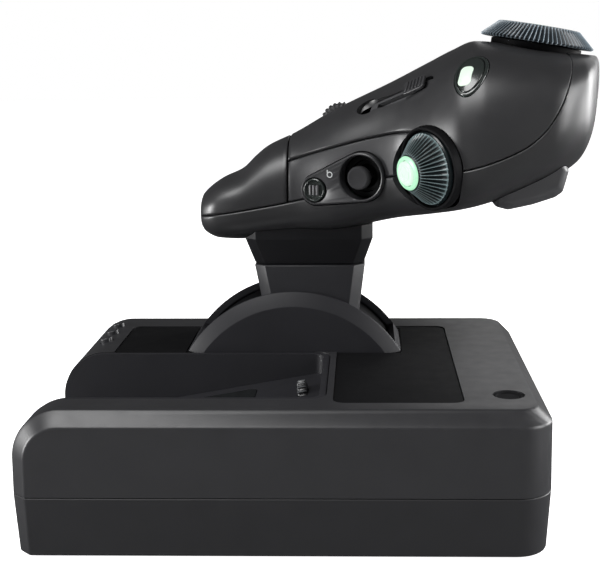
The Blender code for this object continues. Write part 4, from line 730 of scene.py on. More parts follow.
@dataclass(frozen=True)
class SmokedPane(Finish):
    """Dark glossy display pane with faint bands of its unlit rows and wiped smears."""

    colour: Colour = (0.006, 0.007, 0.007)
    row: float = 2.6

    def paint(self, graph: Graph) -> None:
        """Faint rows under a smeared gloss.

        Args:
            graph: Graph of the material.
        """
        graph.set(Coat_Weight=0.6, Coat_Roughness=0.05)
        rows = graph.noise(self.row, detail=0.0, stretch=(1.0, 0.02, 0.0))
        graph.tint(rows, shade(self.colour, 0.7), shade(self.colour, 1.6))
        graph.gloss(graph.noise(size=9.0, detail=6.0), low=0.06, high=0.2)


@dataclass(frozen=True)
class LitPlastic(Finish):
    """Milky plastic lit from behind."""

    colour: Colour
    glow: Colour
    strength: float

    def paint(self, graph: Graph) -> None:
        """Even glow under a cloudy colour.

        Args:
            graph: Graph of the material.
        """
        graph.set(Emission_Color=(*self.glow, 1.0), Emission_Strength=self.strength)
        graph.tint(graph.noise(size=4.0), shade(self.colour, 0.9), shade(self.colour, 1.06))
        graph.gloss(graph.noise(size=2.0), low=0.25, high=0.4)


CASE_PLASTIC = MouldedPlastic("case_plastic", (0.017, 0.017, 0.0185), 0.37)
TRAY_PLASTIC = MouldedPlastic("tray_plastic", (0.012, 0.012, 0.0135), 0.48)
DECK_PLASTIC = MouldedPlastic("deck_plastic", (0.0048, 0.0048, 0.0052), 0.5, depth=0.006, shine=0.03)
HOOD_PLASTIC = MouldedPlastic("hood_plastic", (0.013, 0.013, 0.015), 0.48, shine=0.2)
NECK_PLASTIC = MouldedPlastic("neck_plastic", (0.014, 0.014, 0.016), 0.4)
GRIP_PLASTIC = MouldedPlastic("grip_plastic", (0.015, 0.015, 0.016), 0.37, depth=0.008, shine=0.5)
PANEL_PLASTIC = MouldedPlastic("panel_plastic", (0.0185, 0.0185, 0.02), 0.36, depth=0.008, shine=0.5)
REST_PLASTIC = MouldedPlastic("rest_plastic", (0.03, 0.03, 0.032), 0.42, depth=0.008)
# near black, darker than the neck: painted shade under the grip
SHADED_COLLAR_PLASTIC = MouldedPlastic("shaded_collar_plastic", (0.006, 0.006, 0.007), 0.46, shine=0.2)
# paler than the grip: painted light on the sunk slide track
TRACK_HIGHLIGHT_PLASTIC = MouldedPlastic("track_highlight_plastic", (0.035, 0.035, 0.037), 0.42, depth=0.006)
BUTTON_PLASTIC = MouldedPlastic("button_plastic", (0.02, 0.02, 0.022), 0.34, depth=0.004)
GLOSS_PLASTIC = MouldedPlastic("gloss_plastic", (0.012, 0.015, 0.014), 0.24, depth=0.002, coat=0.4)
# paler than the button it sits on: painted highlight on the raised ridges
RIDGE_HIGHLIGHT_PLASTIC = MouldedPlastic("ridge_highlight_plastic", (0.075, 0.075, 0.078), 0.35)
MARK_PAINT = MouldedPlastic("mark_paint", (0.26, 0.27, 0.27), 0.5, depth=0.002)
# Rib finishes: the pale crest colours are painted highlights and the dark groove colours are painted shade
KNOB_RIBS = RibbedPlastic("knob_ribs", (0.11, 0.15, 0.155), (0.004, 0.007, 0.008))
DIAL_RIBS = RibbedPlastic("dial_ribs", (0.17, 0.21, 0.24), (0.008, 0.012, 0.016))
WHEEL_RIBS = RibbedPlastic("wheel_ribs", (0.10, 0.105, 0.11), (0.012, 0.012, 0.013))
SCROLL_RUBBER = RibbedPlastic("scroll_rubber", (0.03, 0.03, 0.032), (0.008, 0.008, 0.009), 0.6)
BLACK_RUBBER = SoftRubber("black_rubber")
STICK_RUBBER = SoftRubber("stick_rubber", (0.018, 0.018, 0.019))
STEEL = MachinedMetal("steel", (0.52, 0.52, 0.53))
CAST_METAL = MachinedMetal("cast_metal", (0.40, 0.41, 0.42), 0.45, (1.0, 1.0, 1.0))
GEAR_PLASTIC = MouldedPlastic("gear_plastic", (0.58, 0.57, 0.52), 0.42, grain=0.6)
BOARD = CircuitBoard("circuit_board")
PANE = SmokedPane("display_pane")
GREEN_GLOW = LitPlastic("green_glow", (0.12, 0.20, 0.14), (0.36, 0.74, 0.47), 0.86)
WHITE_GLOW = LitPlastic("white_glow", (0.14, 0.17, 0.15), (0.70, 0.93, 0.76), 0.78)
LAMP_GLOW = LitPlastic("lamp_glow", (0.14, 0.17, 0.14), (0.78, 0.95, 0.80), 0.8)


# Making and publishing pieces


def shape_up(mesh: bpy.types.Mesh) -> None:
    """Smooth faces with crisp edges where the surface turns sharply."""
    mesh.shade_smooth()
    mesh.set_sharp_from_angle(angle=math.radians(SHARP_DEG))


def make_object(name: str, shape: Shape, datum: Datum) -> bpy.types.Object:
    """Object at the origin that holds a shape in its mesh, welded and with outward faces.

    Args:
        name: Name of the object.
        shape: Its shape.
        datum: Point that the shape's millimetres start from.

    Returns:
        The object.
    """
    mesh = bpy.data.meshes.new(name)
    points = (shape.points + np.array(datum.value)) * MM
    mesh.from_pydata(points.tolist(), [], shape.quads.tolist() + [end.tolist() for end in shape.ends])
    if shape.marks is not None:
        mesh.attributes.new(RIB_ATTRIBUTE, "FLOAT", "POINT").data.foreach_set("value", shape.marks)
    work = bmesh.new()
    work.from_mesh(mesh)
    bmesh.ops.remove_doubles(work, verts=work.verts, dist=WELD)
    bmesh.ops.dissolve_degenerate(work, edges=work.edges, dist=SLIVER)
    # welding can leave an inner wall where two edges of a sheet meet, with an edge that three faces share
    while inner := [face for face in work.faces if any(len(edge.link_faces) > 2 for edge in face.edges)
                    and sum(len(edge.link_faces) != 2 for edge in face.edges) > 1]:
        bmesh.ops.delete(work, geom=inner, context="FACES_ONLY")
    bmesh.ops.recalc_face_normals(work, faces=work.faces)
    work.to_mesh(mesh)
    work.free()
    shape_up(mesh)
    obj = bpy.data.objects.new(name, mesh)
    bpy.context.scene.collection.objects.link(obj)
    return obj


def bake(obj: bpy.types.Object) -> None:
    """Put the result of an object's modifiers into its mesh.

    Args:
        obj: Object with modifiers.
    """
    graph = bpy.context.evaluated_depsgraph_get()
    graph.update()
    old = obj.data
    obj.data = bpy.data.meshes.new_from_object(obj.evaluated_get(graph))
    obj.modifiers.clear()
    bpy.data.meshes.remove(old)
    shape_up(obj.data)


def carve(obj: bpy.types.Object, datum: Datum, cutters: Sequence[Shape]) -> None:
    """Cut shapes out of an object and remove the cutters.

    Args:
        obj: Object to cut.
        datum: Point that the cutters' millimetres start from.
        cutters: Closed shapes.
    """
    tools = [make_object(f"{obj.name}_cutter", cutter, datum) for cutter in cutters]
    for tool in tools:
        modifier = obj.modifiers.new("cut", "BOOLEAN")
        modifier.operation = "DIFFERENCE"
        modifier.solver = "EXACT"
        modifier.object = tool
    bake(obj)
    for tool in tools:
        mesh = tool.data
        bpy.data.objects.remove(tool)
        bpy.data.meshes.remove(mesh)


def add(name: str, shape: Shape, datum: Datum, body: str, slot: Slot, finish: Finish, *nodes: str,
        cuts: Sequence[Shape] = ()) -> None:
    """Make a piece, cut it, give it its finish and its body, and let it stand for CAD nodes.

    Args:
        name: Name of the piece.
        shape: Its shape before it is cut.
        datum: Point that its millimetres start from.
        body: CAD body that it moves with.
        slot: Material slot of the record; not used.
        finish: Its finish.
        *nodes: CAD nodes that it stands for.
        cuts: Closed shapes that are cut out of it.
    """
    obj = make_object(name, shape, datum)
    if cuts:
        carve(obj, datum, cuts)
    obj.data.materials.clear()
    obj.data.materials.append(finish.material())
    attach(obj, body)
    if nodes:
        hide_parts(*nodes)
    log.info("%s: %d faces on %s in %s", obj.name, len(obj.data.polygons), body, finish.name)


def dress(node: str, finish: Finish) -> None:
    """Give a CAD node that stays its finish.

    Args:
        node: Name of the CAD node.
        finish: Its finish.
    """
    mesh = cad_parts[node].data
    mesh.materials.clear()
    mesh.materials.append(finish.material())
    log.info("%s: kept from the frame in %s", node, finish.name)


# Base


@dataclass(frozen=True)
class BaseCase:
    """Two-part case of the base: a tapered tray and a cover with chamfered edges and a rounded front."""

    front: float = -87.0
    rear: float = 87.0
    half_width: float = 70.5
    top: float = 48.8
    parting: float = 20.9
    chamfer: float = 4.8
    edge_round: float = 1.6
    front_radius: float = 16.0
    corner_radius: float = 12.0
    taper: float = 1.3
    wall: float = 2.5
    tray_low: float = 0.8
    tray_floor: float = 3.8
    tray_edge: float = 1.1
    foot_inset: float = 20.5
    foot_radius: float = 6.0
    foot_height: float = 2.0
    foot_groove: float = 0.35
    screw_x: Pair = (-76.0, 77.4)
    screw_y: float = 61.7
    screw_head: float = 2.9
    screw_head_height: float = 1.2
    screw_shank: float = 1.25
    screw_length: float = 14.0
    screw_point: float = 0.6
    screw_seat: float = 1.8
    cross_half: Pair = (1.7, 0.35)
    cross_span: Pair = (-1.0, 0.8)
    deck_floor: float = 47.6
    deck_thick: float = 0.6
    deck_edge: float = 0.2
    deck_corner: float = 4.0
    deck_notch: float = 0.4
    deck_front: float = -68.0
    deck_rear: float = 59.1
    deck_near: float = -58.4
    deck_far: float = 50.5
    deck_beside: float = 16.2
    recess_near: float = -53.7
    recess_far: float = 8.1
    recess_rear: float = 14.0
    recess_corner: float = 6.0
    hood_half: float = 40.6
    hood_span: Pair = (9.0, 47.3)
    hood_seat: float = 1.5
    plug_at: Pair = (74.1, -48.9)
    plug_radius: float = 5.0
    plug_flange: float = 1.3
    socket_at: Pair = (-25.0, 31.0)
    socket_radius: float = 7.0
    socket_depth: float = 13.0
    socket_bore: float = 5.0
    bore_depth: float = 6.8
    pin_circle: float = 2.9
    pin_radius: float = 0.4
    pin_span: tuple[float, float, float] = (-7.0, -3.0, -2.8)
    pin_deg: tuple[float, ...] = (-135.0, -90.0, -45.0, 0.0, 45.0, 90.0, 135.0)
    button_radius: float = 2.5
    button_flange: float = 0.9
    button_room: float = 0.9
    button_dome: Pair = (1.45, 1.8)
    button_y: tuple[float, ...] = (26.9, 39.4, 51.9)
    button_turn_deg: float = 13.0

    def chamfer_path(self, cut: float) -> np.ndarray:
        """Line across a top edge: how far in from the face, and how far below the top, with rounded bends.

        Args:
            cut: Width of the chamfer.

        Returns:
            Distances in and down, in order.
        """
        reach = cut + 3.0 * self.edge_round
        corners = ((0.0, reach), (0.0, cut), (cut, 0.0), (reach, 0.0))
        return filleted(corners, self.edge_round, 4, closed=False)[1:-1]

    def cover_shape(self, inset: float, bottom: float) -> Shape:
        """Cover as side outlines set one behind another from the near face to the far face.

        At a depth d from the face the outline drops by s(d), the chamfer line; its front bend has radius
        R - s, and its rear edge stands at sqrt((r - i)^2 - (r - d)^2) behind the corner's middle for each
        inset i of the chamfer line, which rounds the corner and carries the chamfer along the rear.

        Args:
            inset: How far every face is drawn in, for the hollow.
            bottom: Height of the lower edge.

        Returns:
            A closed shape.
        """
        corner = self.corner_radius - inset
        line = self.chamfer_path(self.chamfer - inset * (2.0 - math.sqrt(2.0)))
        around = corner * (1.0 - np.cos(np.radians(np.linspace(0.0, 90.0, 15))))
        depth = np.unique(np.round(np.concatenate((line[:, 0], around)), 4))
        drop = np.interp(depth, line[:, 0], line[:, 1], right=0.0)[:, None]
        top = self.top - inset
        bend = np.radians(np.linspace(180.0, 90.0, 17))[None, :]
        middle_x, middle_z = self.front + self.front_radius, self.top - self.front_radius
        radius = self.front_radius - inset - drop
        inward = np.minimum(line[::-1, 0][None, :], depth[:, None])
        corner_x = self.rear - self.corner_radius
        across = (corner - inward) ** 2 - (corner - np.minimum(depth, corner))[:, None] ** 2
        rear_x = corner_x + np.sqrt(np.maximum(across, 0.0))
        rear_z = top - np.interp(inward, line[:, 0], line[:, 1])
        floor = np.full_like(drop, bottom)
        x = np.hstack((self.front + inset + drop, middle_x + radius * np.cos(bend), rear_x, rear_x[:, -1:]))
        z = np.hstack((floor, middle_z + radius * np.sin(bend), rear_z, floor))
        near = -self.half_width + inset + depth[:, None] + 0.0 * x
        half = np.stack((x, near, z), axis=-1)
        mirrored = half[::-1] * np.array((1.0, -1.0, 1.0))
        return loft(np.concatenate((half, mirrored)))

    def plan_outline(self, inset: float) -> np.ndarray:
        """Case from above: front corners cut at 45 degrees and rear corners round.

        Args:
            inset: How far every side is drawn in.

        Returns:
            Flat points in order.
        """
        cut = self.chamfer + inset * (math.sqrt(2.0) - 1.0)
        x0, x1, y = self.front + inset, self.rear - inset, self.half_width - inset
        front_cut, side_cut = self.front + cut, self.half_width - cut
        corners = ((x0, -side_cut), (front_cut, -y), (x1, -y), (x1, y), (front_cut, y), (x0, side_cut))
        bend, edge = self.corner_radius - inset, self.edge_round
        return filleted(corners, (edge, edge, bend, bend, edge, edge), 12)

    def recess_outline(self, inset: float, front: float) -> np.ndarray:
        """Display recess from above, open past the front.

        Args:
            inset: How far every side is drawn in.
            front: X of the open end.

        Returns:
            Flat points in order.
        """
        rear, near, far = self.recess_rear - inset, self.recess_near + inset, self.recess_far - inset
        bend = self.recess_corner - inset
        return filleted(((front, near), (rear, near), (rear, far), (front, far)), (0.0, bend, bend, 0.0), 10)

    def deck_outline(self, inset: float) -> np.ndarray:
        """Deck plate from above, round the hood and beside the recess.

        Args:
            inset: How far every side is drawn in.

        Returns:
            Flat points in order.
        """
        x0, x1, x2 = self.deck_front + inset, self.deck_beside + inset, self.deck_rear - inset
        y0, y1, y2 = self.deck_near + inset, self.recess_far + inset, self.deck_far - inset
        corners = ((x0, y1), (x1, y1), (x1, y0), (x2, y0), (x2, y2), (x0, y2))
        bend, notch = self.deck_corner, self.deck_notch
        return filleted(corners, (notch, notch, bend, bend, bend, bend), 8)

    def hood_opening(self, inset: float, low: float) -> Shape:
        """Opening under the hood, for cutting."""
        half, (near, far) = self.hood_half - inset, self.hood_span
        return block((-half, half), (near + inset, far - inset), (low, self.top + PAST))

    def button_places(self) -> list[Placement]:
        """Placements of the three buttons on the rounded front edge.

        Returns:
            Placements with Z out of the edge.
        """
        turn = math.radians(self.button_turn_deg)
        out = np.array((-math.sin(turn), 0.0, math.cos(turn)))
        middle = np.array((self.front + self.front_radius, 0.0, self.top - self.front_radius))
        surface = middle + self.front_radius * out
        return [Placement.facing(surface + (0.0, y, 0.0), out, (0.0, 1.0, 0.0)) for y in self.button_y]

    def socket_place(self) -> Placement:
        """Placement of the link socket on the rear wall."""
        y, z = self.socket_at
        return Placement.facing((self.rear, y, z), (1.0, 0.0, 0.0), (0.0, 1.0, 0.0))

    def plug_place(self) -> Placement:
        """Placement of the round plug on the deck."""
        return Placement.facing((*self.plug_at, self.top), UP)

    def foot_places(self) -> list[Placement]:
        """Placements of the four feet on the desk."""
        x, y = self.rear - self.foot_inset, self.half_width - self.foot_inset
        return [Placement.facing((*at, 0.0), UP) for at in ((-x, -y), (-x, y), (x, -y), (x, y))]

    def screw_places(self) -> list[Placement]:
        """Placements of the four case screws over the desk."""
        y = self.screw_y
        return [Placement.facing((x, side, 0.0), UP) for x in self.screw_x for side in (-y, y)]

    def build_cover(self) -> None:
        """Cover with its hollow, recesses and openings."""
        under, over = -self.wall - PAST, self.top + PAST
        plug = rod(self.plug_radius + GAP, under, PAST, ROUND)
        socket = rod(self.socket_radius + GAP, under, PAST, ROUND)
        button = rod(self.button_radius + GAP, under, PAST)
        cuts = [self.cover_shape(self.wall, self.parting - PAST),
                prism(self.deck_outline(0.0), self.deck_floor, over),
                prism(self.recess_outline(0.0, self.front - PAST), self.parting - PAST, over),
                self.hood_opening(self.hood_seat, self.deck_floor - PAST),
                plug.at(self.plug_place()), socket.at(self.socket_place()),
                *(button.at(place) for place in self.button_places())]
        add("case_cover", self.cover_shape(0.0, self.parting + GAP / 2), Datum.BASE, "base", Slot.CASE,
            CASE_PLASTIC, "base_cover", cuts=cuts)

    def build_tray(self) -> None:
        """Tapered tray as a cup of outlines, with foot pockets and screw holes."""
        rim = self.parting - GAP / 2
        rim_draw, rim_drop = 0.2, 0.25
        turn = np.linspace(0.0, 0.5 * np.pi, 6)
        inset = [*(self.taper + self.tray_edge * (1.0 - np.sin(turn))), 0.0, rim_draw, self.wall,
                 self.wall + self.taper]
        height = [*(self.tray_low + self.tray_edge * (1.0 - np.cos(turn))), rim - rim_drop, rim, rim,
                  self.tray_floor]
        pocket = rod(self.foot_radius + GAP, self.tray_low - PAST, self.foot_height + GAP, ROUND)
        head = rod(self.screw_head + GAP, self.tray_low - PAST, self.tray_low + self.screw_seat)
        cuts = [pocket.at(place) for place in self.foot_places()]
        cuts += [head.at(place) for place in self.screw_places()]
        add("case_tray", levels([self.plan_outline(amount) for amount in inset], height), Datum.BASE, "base",
            Slot.CASE, TRAY_PLASTIC, "base_tray", cuts=cuts)

    def build_deck(self) -> None:
        """Thin dark plate let into the cover."""
        low = self.deck_floor + GAP
        half, (_, far) = self.hood_half + GAP, self.hood_span
        hood = block((-half, half), (self.recess_far - GAP, far + GAP), (low - PAST, low + PAST))
        plate = pillow(self.deck_outline(GAP), low, low + self.deck_thick, self.deck_edge)
        add("deck_panel", plate, Datum.BASE, "base", Slot.DECK, DECK_PLASTIC, "deck_plate", cuts=[hood])

    def build_plug(self) -> None:
        """Round plug with a stepped rim."""
        under, radius, wide = -self.wall - GAP, self.plug_radius, self.plug_radius + self.plug_flange
        foot = under - self.plug_flange
        profile = ((0.0, foot), (wide, foot), (wide, under), (radius, under), (radius, -0.3),
                   (radius - 0.9, -0.3), (radius - 1.1, -0.75), (0.0, -0.6))
        plug = turned(profile, (0, 0.3, 0.3, 0, 0.25, 0.15, 0.15, 0)).at(self.plug_place())
        add("deck_cap", plug, Datum.BASE, "base", Slot.RUBBER, BLACK_RUBBER, "deck_plug")

    def build_feet(self) -> None:
        """Rubber feet with a ring groove in their soles."""
        radius, high, groove = self.foot_radius, self.foot_height, self.foot_groove
        profile = ((0.0, 0.0), (radius * 0.45, 0.0), (radius * 0.5, groove), (radius * 0.6, groove),
                   (radius * 0.65, 0.0), (radius, 0.0), (radius, high), (0.0, high))
        foot = turned(profile, (0, 0.1, 0.1, 0.1, 0.1, 0.5, 0.2, 0))
        for number, place in enumerate(self.foot_places(), 1):
            add(f"desk_foot_{number}", foot.at(place), Datum.BASE, "base", Slot.RUBBER, BLACK_RUBBER,
                f"foot_{number}")

    def build_screws(self) -> None:
        """Case screws with a cross recess in their heads."""
        low, (arm, half) = self.tray_low + GAP, self.cross_half
        head, shank = self.screw_head, self.screw_shank
        neck, tip, point = low + self.screw_head_height, low + self.screw_length, self.screw_point
        profile = ((0.0, low), (head, low), (head, neck), (shank, neck), (shank, tip - point),
                   (shank - point, tip), (0.0, tip))
        screw = turned(profile, (0, 0.4, 0, 0, 0, 0, 0), SMALL_ROUND)
        depth = [low + z for z in self.cross_span]
        cross = [block((-x, x), (-y, y), depth) for x, y in ((arm, half), (half, arm))]
        for number, place in enumerate(self.screw_places(), 1):
            add(f"cover_screw_{number}", screw.at(place), Datum.BASE, "base", Slot.METAL, STEEL,
                f"case_screw_{number}", cuts=[slot.at(place) for slot in cross])

    def build_socket(self) -> None:
        """Round link socket with contact pins in its bore."""
        place, bore, radius = self.socket_place(), self.socket_bore, self.socket_radius
        end, bottom = -self.socket_depth, -self.bore_depth
        profile = ((0.0, end), (radius, end), (radius, -GAP), (bore, -GAP), (bore, bottom), (0.0, bottom))
        socket = turned(profile, (0, 0.3, 0.5, 0.4, 0.1, 0)).at(place)
        add("link_port", socket, Datum.BASE, "base", Slot.RUBBER, BLACK_RUBBER, "link_socket")
        thick, (root, shoulder, tip) = self.pin_radius, self.pin_span
        pin = turned(((0.0, root), (thick, root), (thick, shoulder), (0.0, tip)), (0, 0, 0.2, 0), 16)
        turn = np.radians(self.pin_deg)
        spots = np.column_stack((self.pin_circle * np.cos(turn), self.pin_circle * np.sin(turn)))
        pins = together(*(pin.at(place.shifted(x, y)) for x, y in spots))
        add("link_pins", pins, Datum.BASE, "base", Slot.METAL, STEEL)

    def build_buttons(self) -> None:
        """Three domed push buttons on the front edge."""
        under, radius, (rim, crown) = -self.wall - self.button_room, self.button_radius, self.button_dome
        wide, foot = radius + self.button_flange, under - self.button_flange
        profile = ((0.0, foot), (wide, foot), (wide, under), (radius, under), (radius, rim), (0.0, crown))
        button = turned(profile, (0, 0.2, 0.2, 0, 0.5, 0), SMALL_ROUND)
        for number, place in enumerate(self.button_places(), 1):
            node = f"mode_button_{number}"
            add(f"edge_button_{number}", button.at(place), Datum.BASE, node, Slot.GEAR, BUTTON_PLASTIC, node)

    def build(self) -> None:
        """Every piece of the case."""
        self.build_tray()
        self.build_cover()
        self.build_deck()
        self.build_plug()
        self.build_feet()
        self.build_screws()
        self.build_socket()
        self.build_buttons()


@dataclass(frozen=True)
class SlotHood:
    """Half-drum hood over the lever's pivot, with bevelled rims and a slot along its crest."""

    near: float = 9.0
    far: float = 47.3
    middle_y: float = 28.15
    pivot_z: float = 23.9
    foot_z: float = 47.9
    radius: float = 47.2
    face_radius: float = 41.9
    bevel: float = 3.0
    wall: float = 2.5
    slot_half: float = 15.85
    slot_deg: float = 54.0

    def drum(self, radii: np.ndarray, y: np.ndarray, bottom: float, steps: int = ROUND) -> Shape:
        """Arcs of given radii round the pivot, one at each y, closed by a flat bottom.

        An arc of radius R reaches acos((bottom - pivot) / R) to each side of straight up.

        Args:
            radii: Radius of each arc.
            y: Place of each arc.
            bottom: Height of the flat.
            steps: Steps along an arc.

        Returns:
            A closed shape.
        """
        limit = np.arccos((bottom - self.pivot_z) / radii)[:, None]
        turn = limit * np.linspace(-1.0, 1.0, steps + 1)[None, :]
        x, z = radii[:, None] * np.sin(turn), self.pivot_z + radii[:, None] * np.cos(turn)
        return loft(np.stack((x, y[:, None] + 0.0 * x, z), axis=-1))

    def build(self) -> None:
        """Hood with its hollow and slot."""
        face, inner_face = self.face_radius, self.face_radius - self.wall
        corners = ((self.near, inner_face), (self.near, face), (self.near + self.bevel, self.radius),
                   (self.far - self.bevel, self.radius), (self.far, face), (self.far, inner_face))
        line = filleted(corners, (0.0, 0.8, 1.0, 1.0, 0.8, 0.0), 4, closed=False)
        inner = np.full(2, self.radius - self.wall)
        hollow = self.drum(inner, np.array((self.near + self.wall, self.far - self.wall)), self.foot_z - PAST)
        rim = arc((0.0, self.pivot_z), self.radius + PAST, 90.0 + self.slot_deg, 90.0 - self.slot_deg, 48)
        wedge = np.vstack((((0.0, self.pivot_z),), rim))
        slot = side_prism(wedge, self.middle_y - self.slot_half, self.middle_y + self.slot_half)
        add("lever_hood", self.drum(line[:, 1], line[:, 0], self.foot_z), Datum.BASE, "base", Slot.DECK,
            HOOD_PLASTIC, "slot_hood", cuts=[hollow, slot])


@dataclass(frozen=True)
class DisplayWell:
    """Sloping display well in the front of the base, with its pane and two thumb wheels."""

    case: BaseCase
    wall: float = 2.2
    floor: float = 3.0
    slope_deg: float = 10.0
    front_z: float = 24.2
    pane_at: float = 50.0
    pane_y: float = -22.8
    pane_half: Pair = (25.0, 22.0)
    pane_thick: float = 1.0
    pane_lap: float = 3.0
    opening_corner: float = 1.0
    wheel_radius: float = 5.5
    wheel_width: float = 3.4
    wheel_y: float = -15.5
    wheel_ribs: int = 18
    rib_depth: float = 0.5
    slot_corner: float = 0.4
    axle_radius: float = 0.6
    axle_reach: float = 2.2
    wheels: tuple[tuple[str, float], ...] = (("display_wheel_rear", 93.01), ("display_wheel_front", 12.0))

    def slope_place(self, up_slope: float, y: float) -> Placement:
        """Placement on the sloping floor, X up the slope and Z out of it.

        Args:
            up_slope: Distance up the slope from the front.
            y: Place across it.

        Returns:
            The placement.
        """
        turn = math.radians(self.slope_deg)
        along = np.array((math.cos(turn), 0.0, math.sin(turn)))
        point = np.array((self.case.front, y, self.front_z)) + up_slope * along
        return Placement.facing(point, (-along[2], 0.0, along[0]), along)

    def axle_place(self, up_slope: float) -> Placement:
        """Placement of a thumb wheel's axle inside the floor, Z along the axle."""
        floor = self.slope_place(up_slope, self.wheel_y).shifted(z=-self.floor / 2)
        return Placement.facing(floor.origin, floor.axes[0], floor.axes[2])

    def floor_height(self, x: np.ndarray) -> np.ndarray:
        """Height of the sloping floor at places along X."""
        return self.front_z + (x - self.case.front) * math.tan(math.radians(self.slope_deg))

    def build_housing(self) -> None:
        """Liner of the recess: walls that follow the case's front bend, and the sloping floor."""
        case, bend_radius = self.case, self.case.front_radius
        low, top, over = case.parting + GAP / 2, case.top - GAP, case.top - GAP + 3 * PAST
        bend = arc((case.front + bend_radius, case.top - bend_radius), bend_radius - GAP, 180.0, 90.0, 24)
        before = case.front - 2 * PAST
        above = np.vstack((bend, ((case.front + 2.0 * bend_radius, top), (0.0, over), (before, over),
                                  (before, bend[0, 1]))))
        lid = side_prism(above, case.recess_near - PAST, case.recess_far + PAST)
        inside = case.recess_outline(GAP + self.wall, case.front - PAST)
        well = levels_between(inside, self.floor_height(inside[:, 0]), np.full(len(inside), case.top + PAST))
        shell = case.recess_outline(GAP + self.wall, case.front + GAP + self.wall)
        drop = self.floor / math.cos(math.radians(self.slope_deg))
        under = levels_between(shell, np.full(len(shell), low - PAST), self.floor_height(shell[:, 0]) - drop)
        place, through, lap = self.slope_place(self.pane_at, self.pane_y), -self.floor - PAST, self.pane_lap
        half_x, half_y = self.pane_half
        pocket = prism(rounded_rectangle(half_x + GAP, half_y + GAP, lap), -self.pane_thick - GAP, PAST)
        opening = prism(rounded_rectangle(half_x - lap, half_y - lap, self.opening_corner), through, PAST)
        half_wheel = self.wheel_width / 2
        half_slot = math.sqrt(self.wheel_radius**2 - (self.floor / 2) ** 2) + 2 * GAP
        slot = prism(rounded_rectangle(half_wheel + GAP, half_slot, self.slot_corner), through, PAST)
        reach = half_wheel + self.axle_reach + GAP
        bore = rod(self.axle_radius + GAP, -reach, reach)
        cuts = [lid, well, under, pocket.at(place), opening.at(place)]
        for _, at in self.wheels:
            cuts += [slot.at(self.slope_place(at, self.wheel_y)), bore.at(self.axle_place(at))]
        add("display_liner", prism(case.recess_outline(GAP, case.front + GAP), low, top), Datum.BASE, "base",
            Slot.DECK, HOOD_PLASTIC, "display_housing", cuts=cuts)

    def build_pane(self) -> None:
        """Smoked pane with a rounded rim."""
        pane = pillow(rounded_rectangle(*self.pane_half, self.pane_lap - GAP), -self.pane_thick, 0.0, 0.25)
        add("display_glass", pane.at(self.slope_place(self.pane_at, self.pane_y)), Datum.BASE, "base",
            Slot.WINDOW, PANE, "display_window")

    def build_wheels(self) -> None:
        """Ribbed thumb wheels half sunk in the floor."""
        half, radius, axle = self.wheel_width / 2, self.wheel_radius, self.axle_radius
        end = half + self.axle_reach
        profile = both_sides(((0.0, -end, 0.0), (axle, -end, 0.0), (axle, -half, 0.0),
                              (radius - 0.9, -half, 0.2), (radius - 0.2, -half + 0.3, 1.0),
                              (radius, -half + 0.7, 1.0)))
        wheel = ribbed(profile, self.wheel_ribs, self.rib_depth)
        for node, at in self.wheels:
            add(f"{node}_ribs", wheel.at(self.axle_place(at)), Datum.BASE, node, Slot.KNOB, WHEEL_RIBS, node)

    def build(self) -> None:
        """Every piece of the well."""
        self.build_housing()
        self.build_pane()
        self.build_wheels()


# Lever


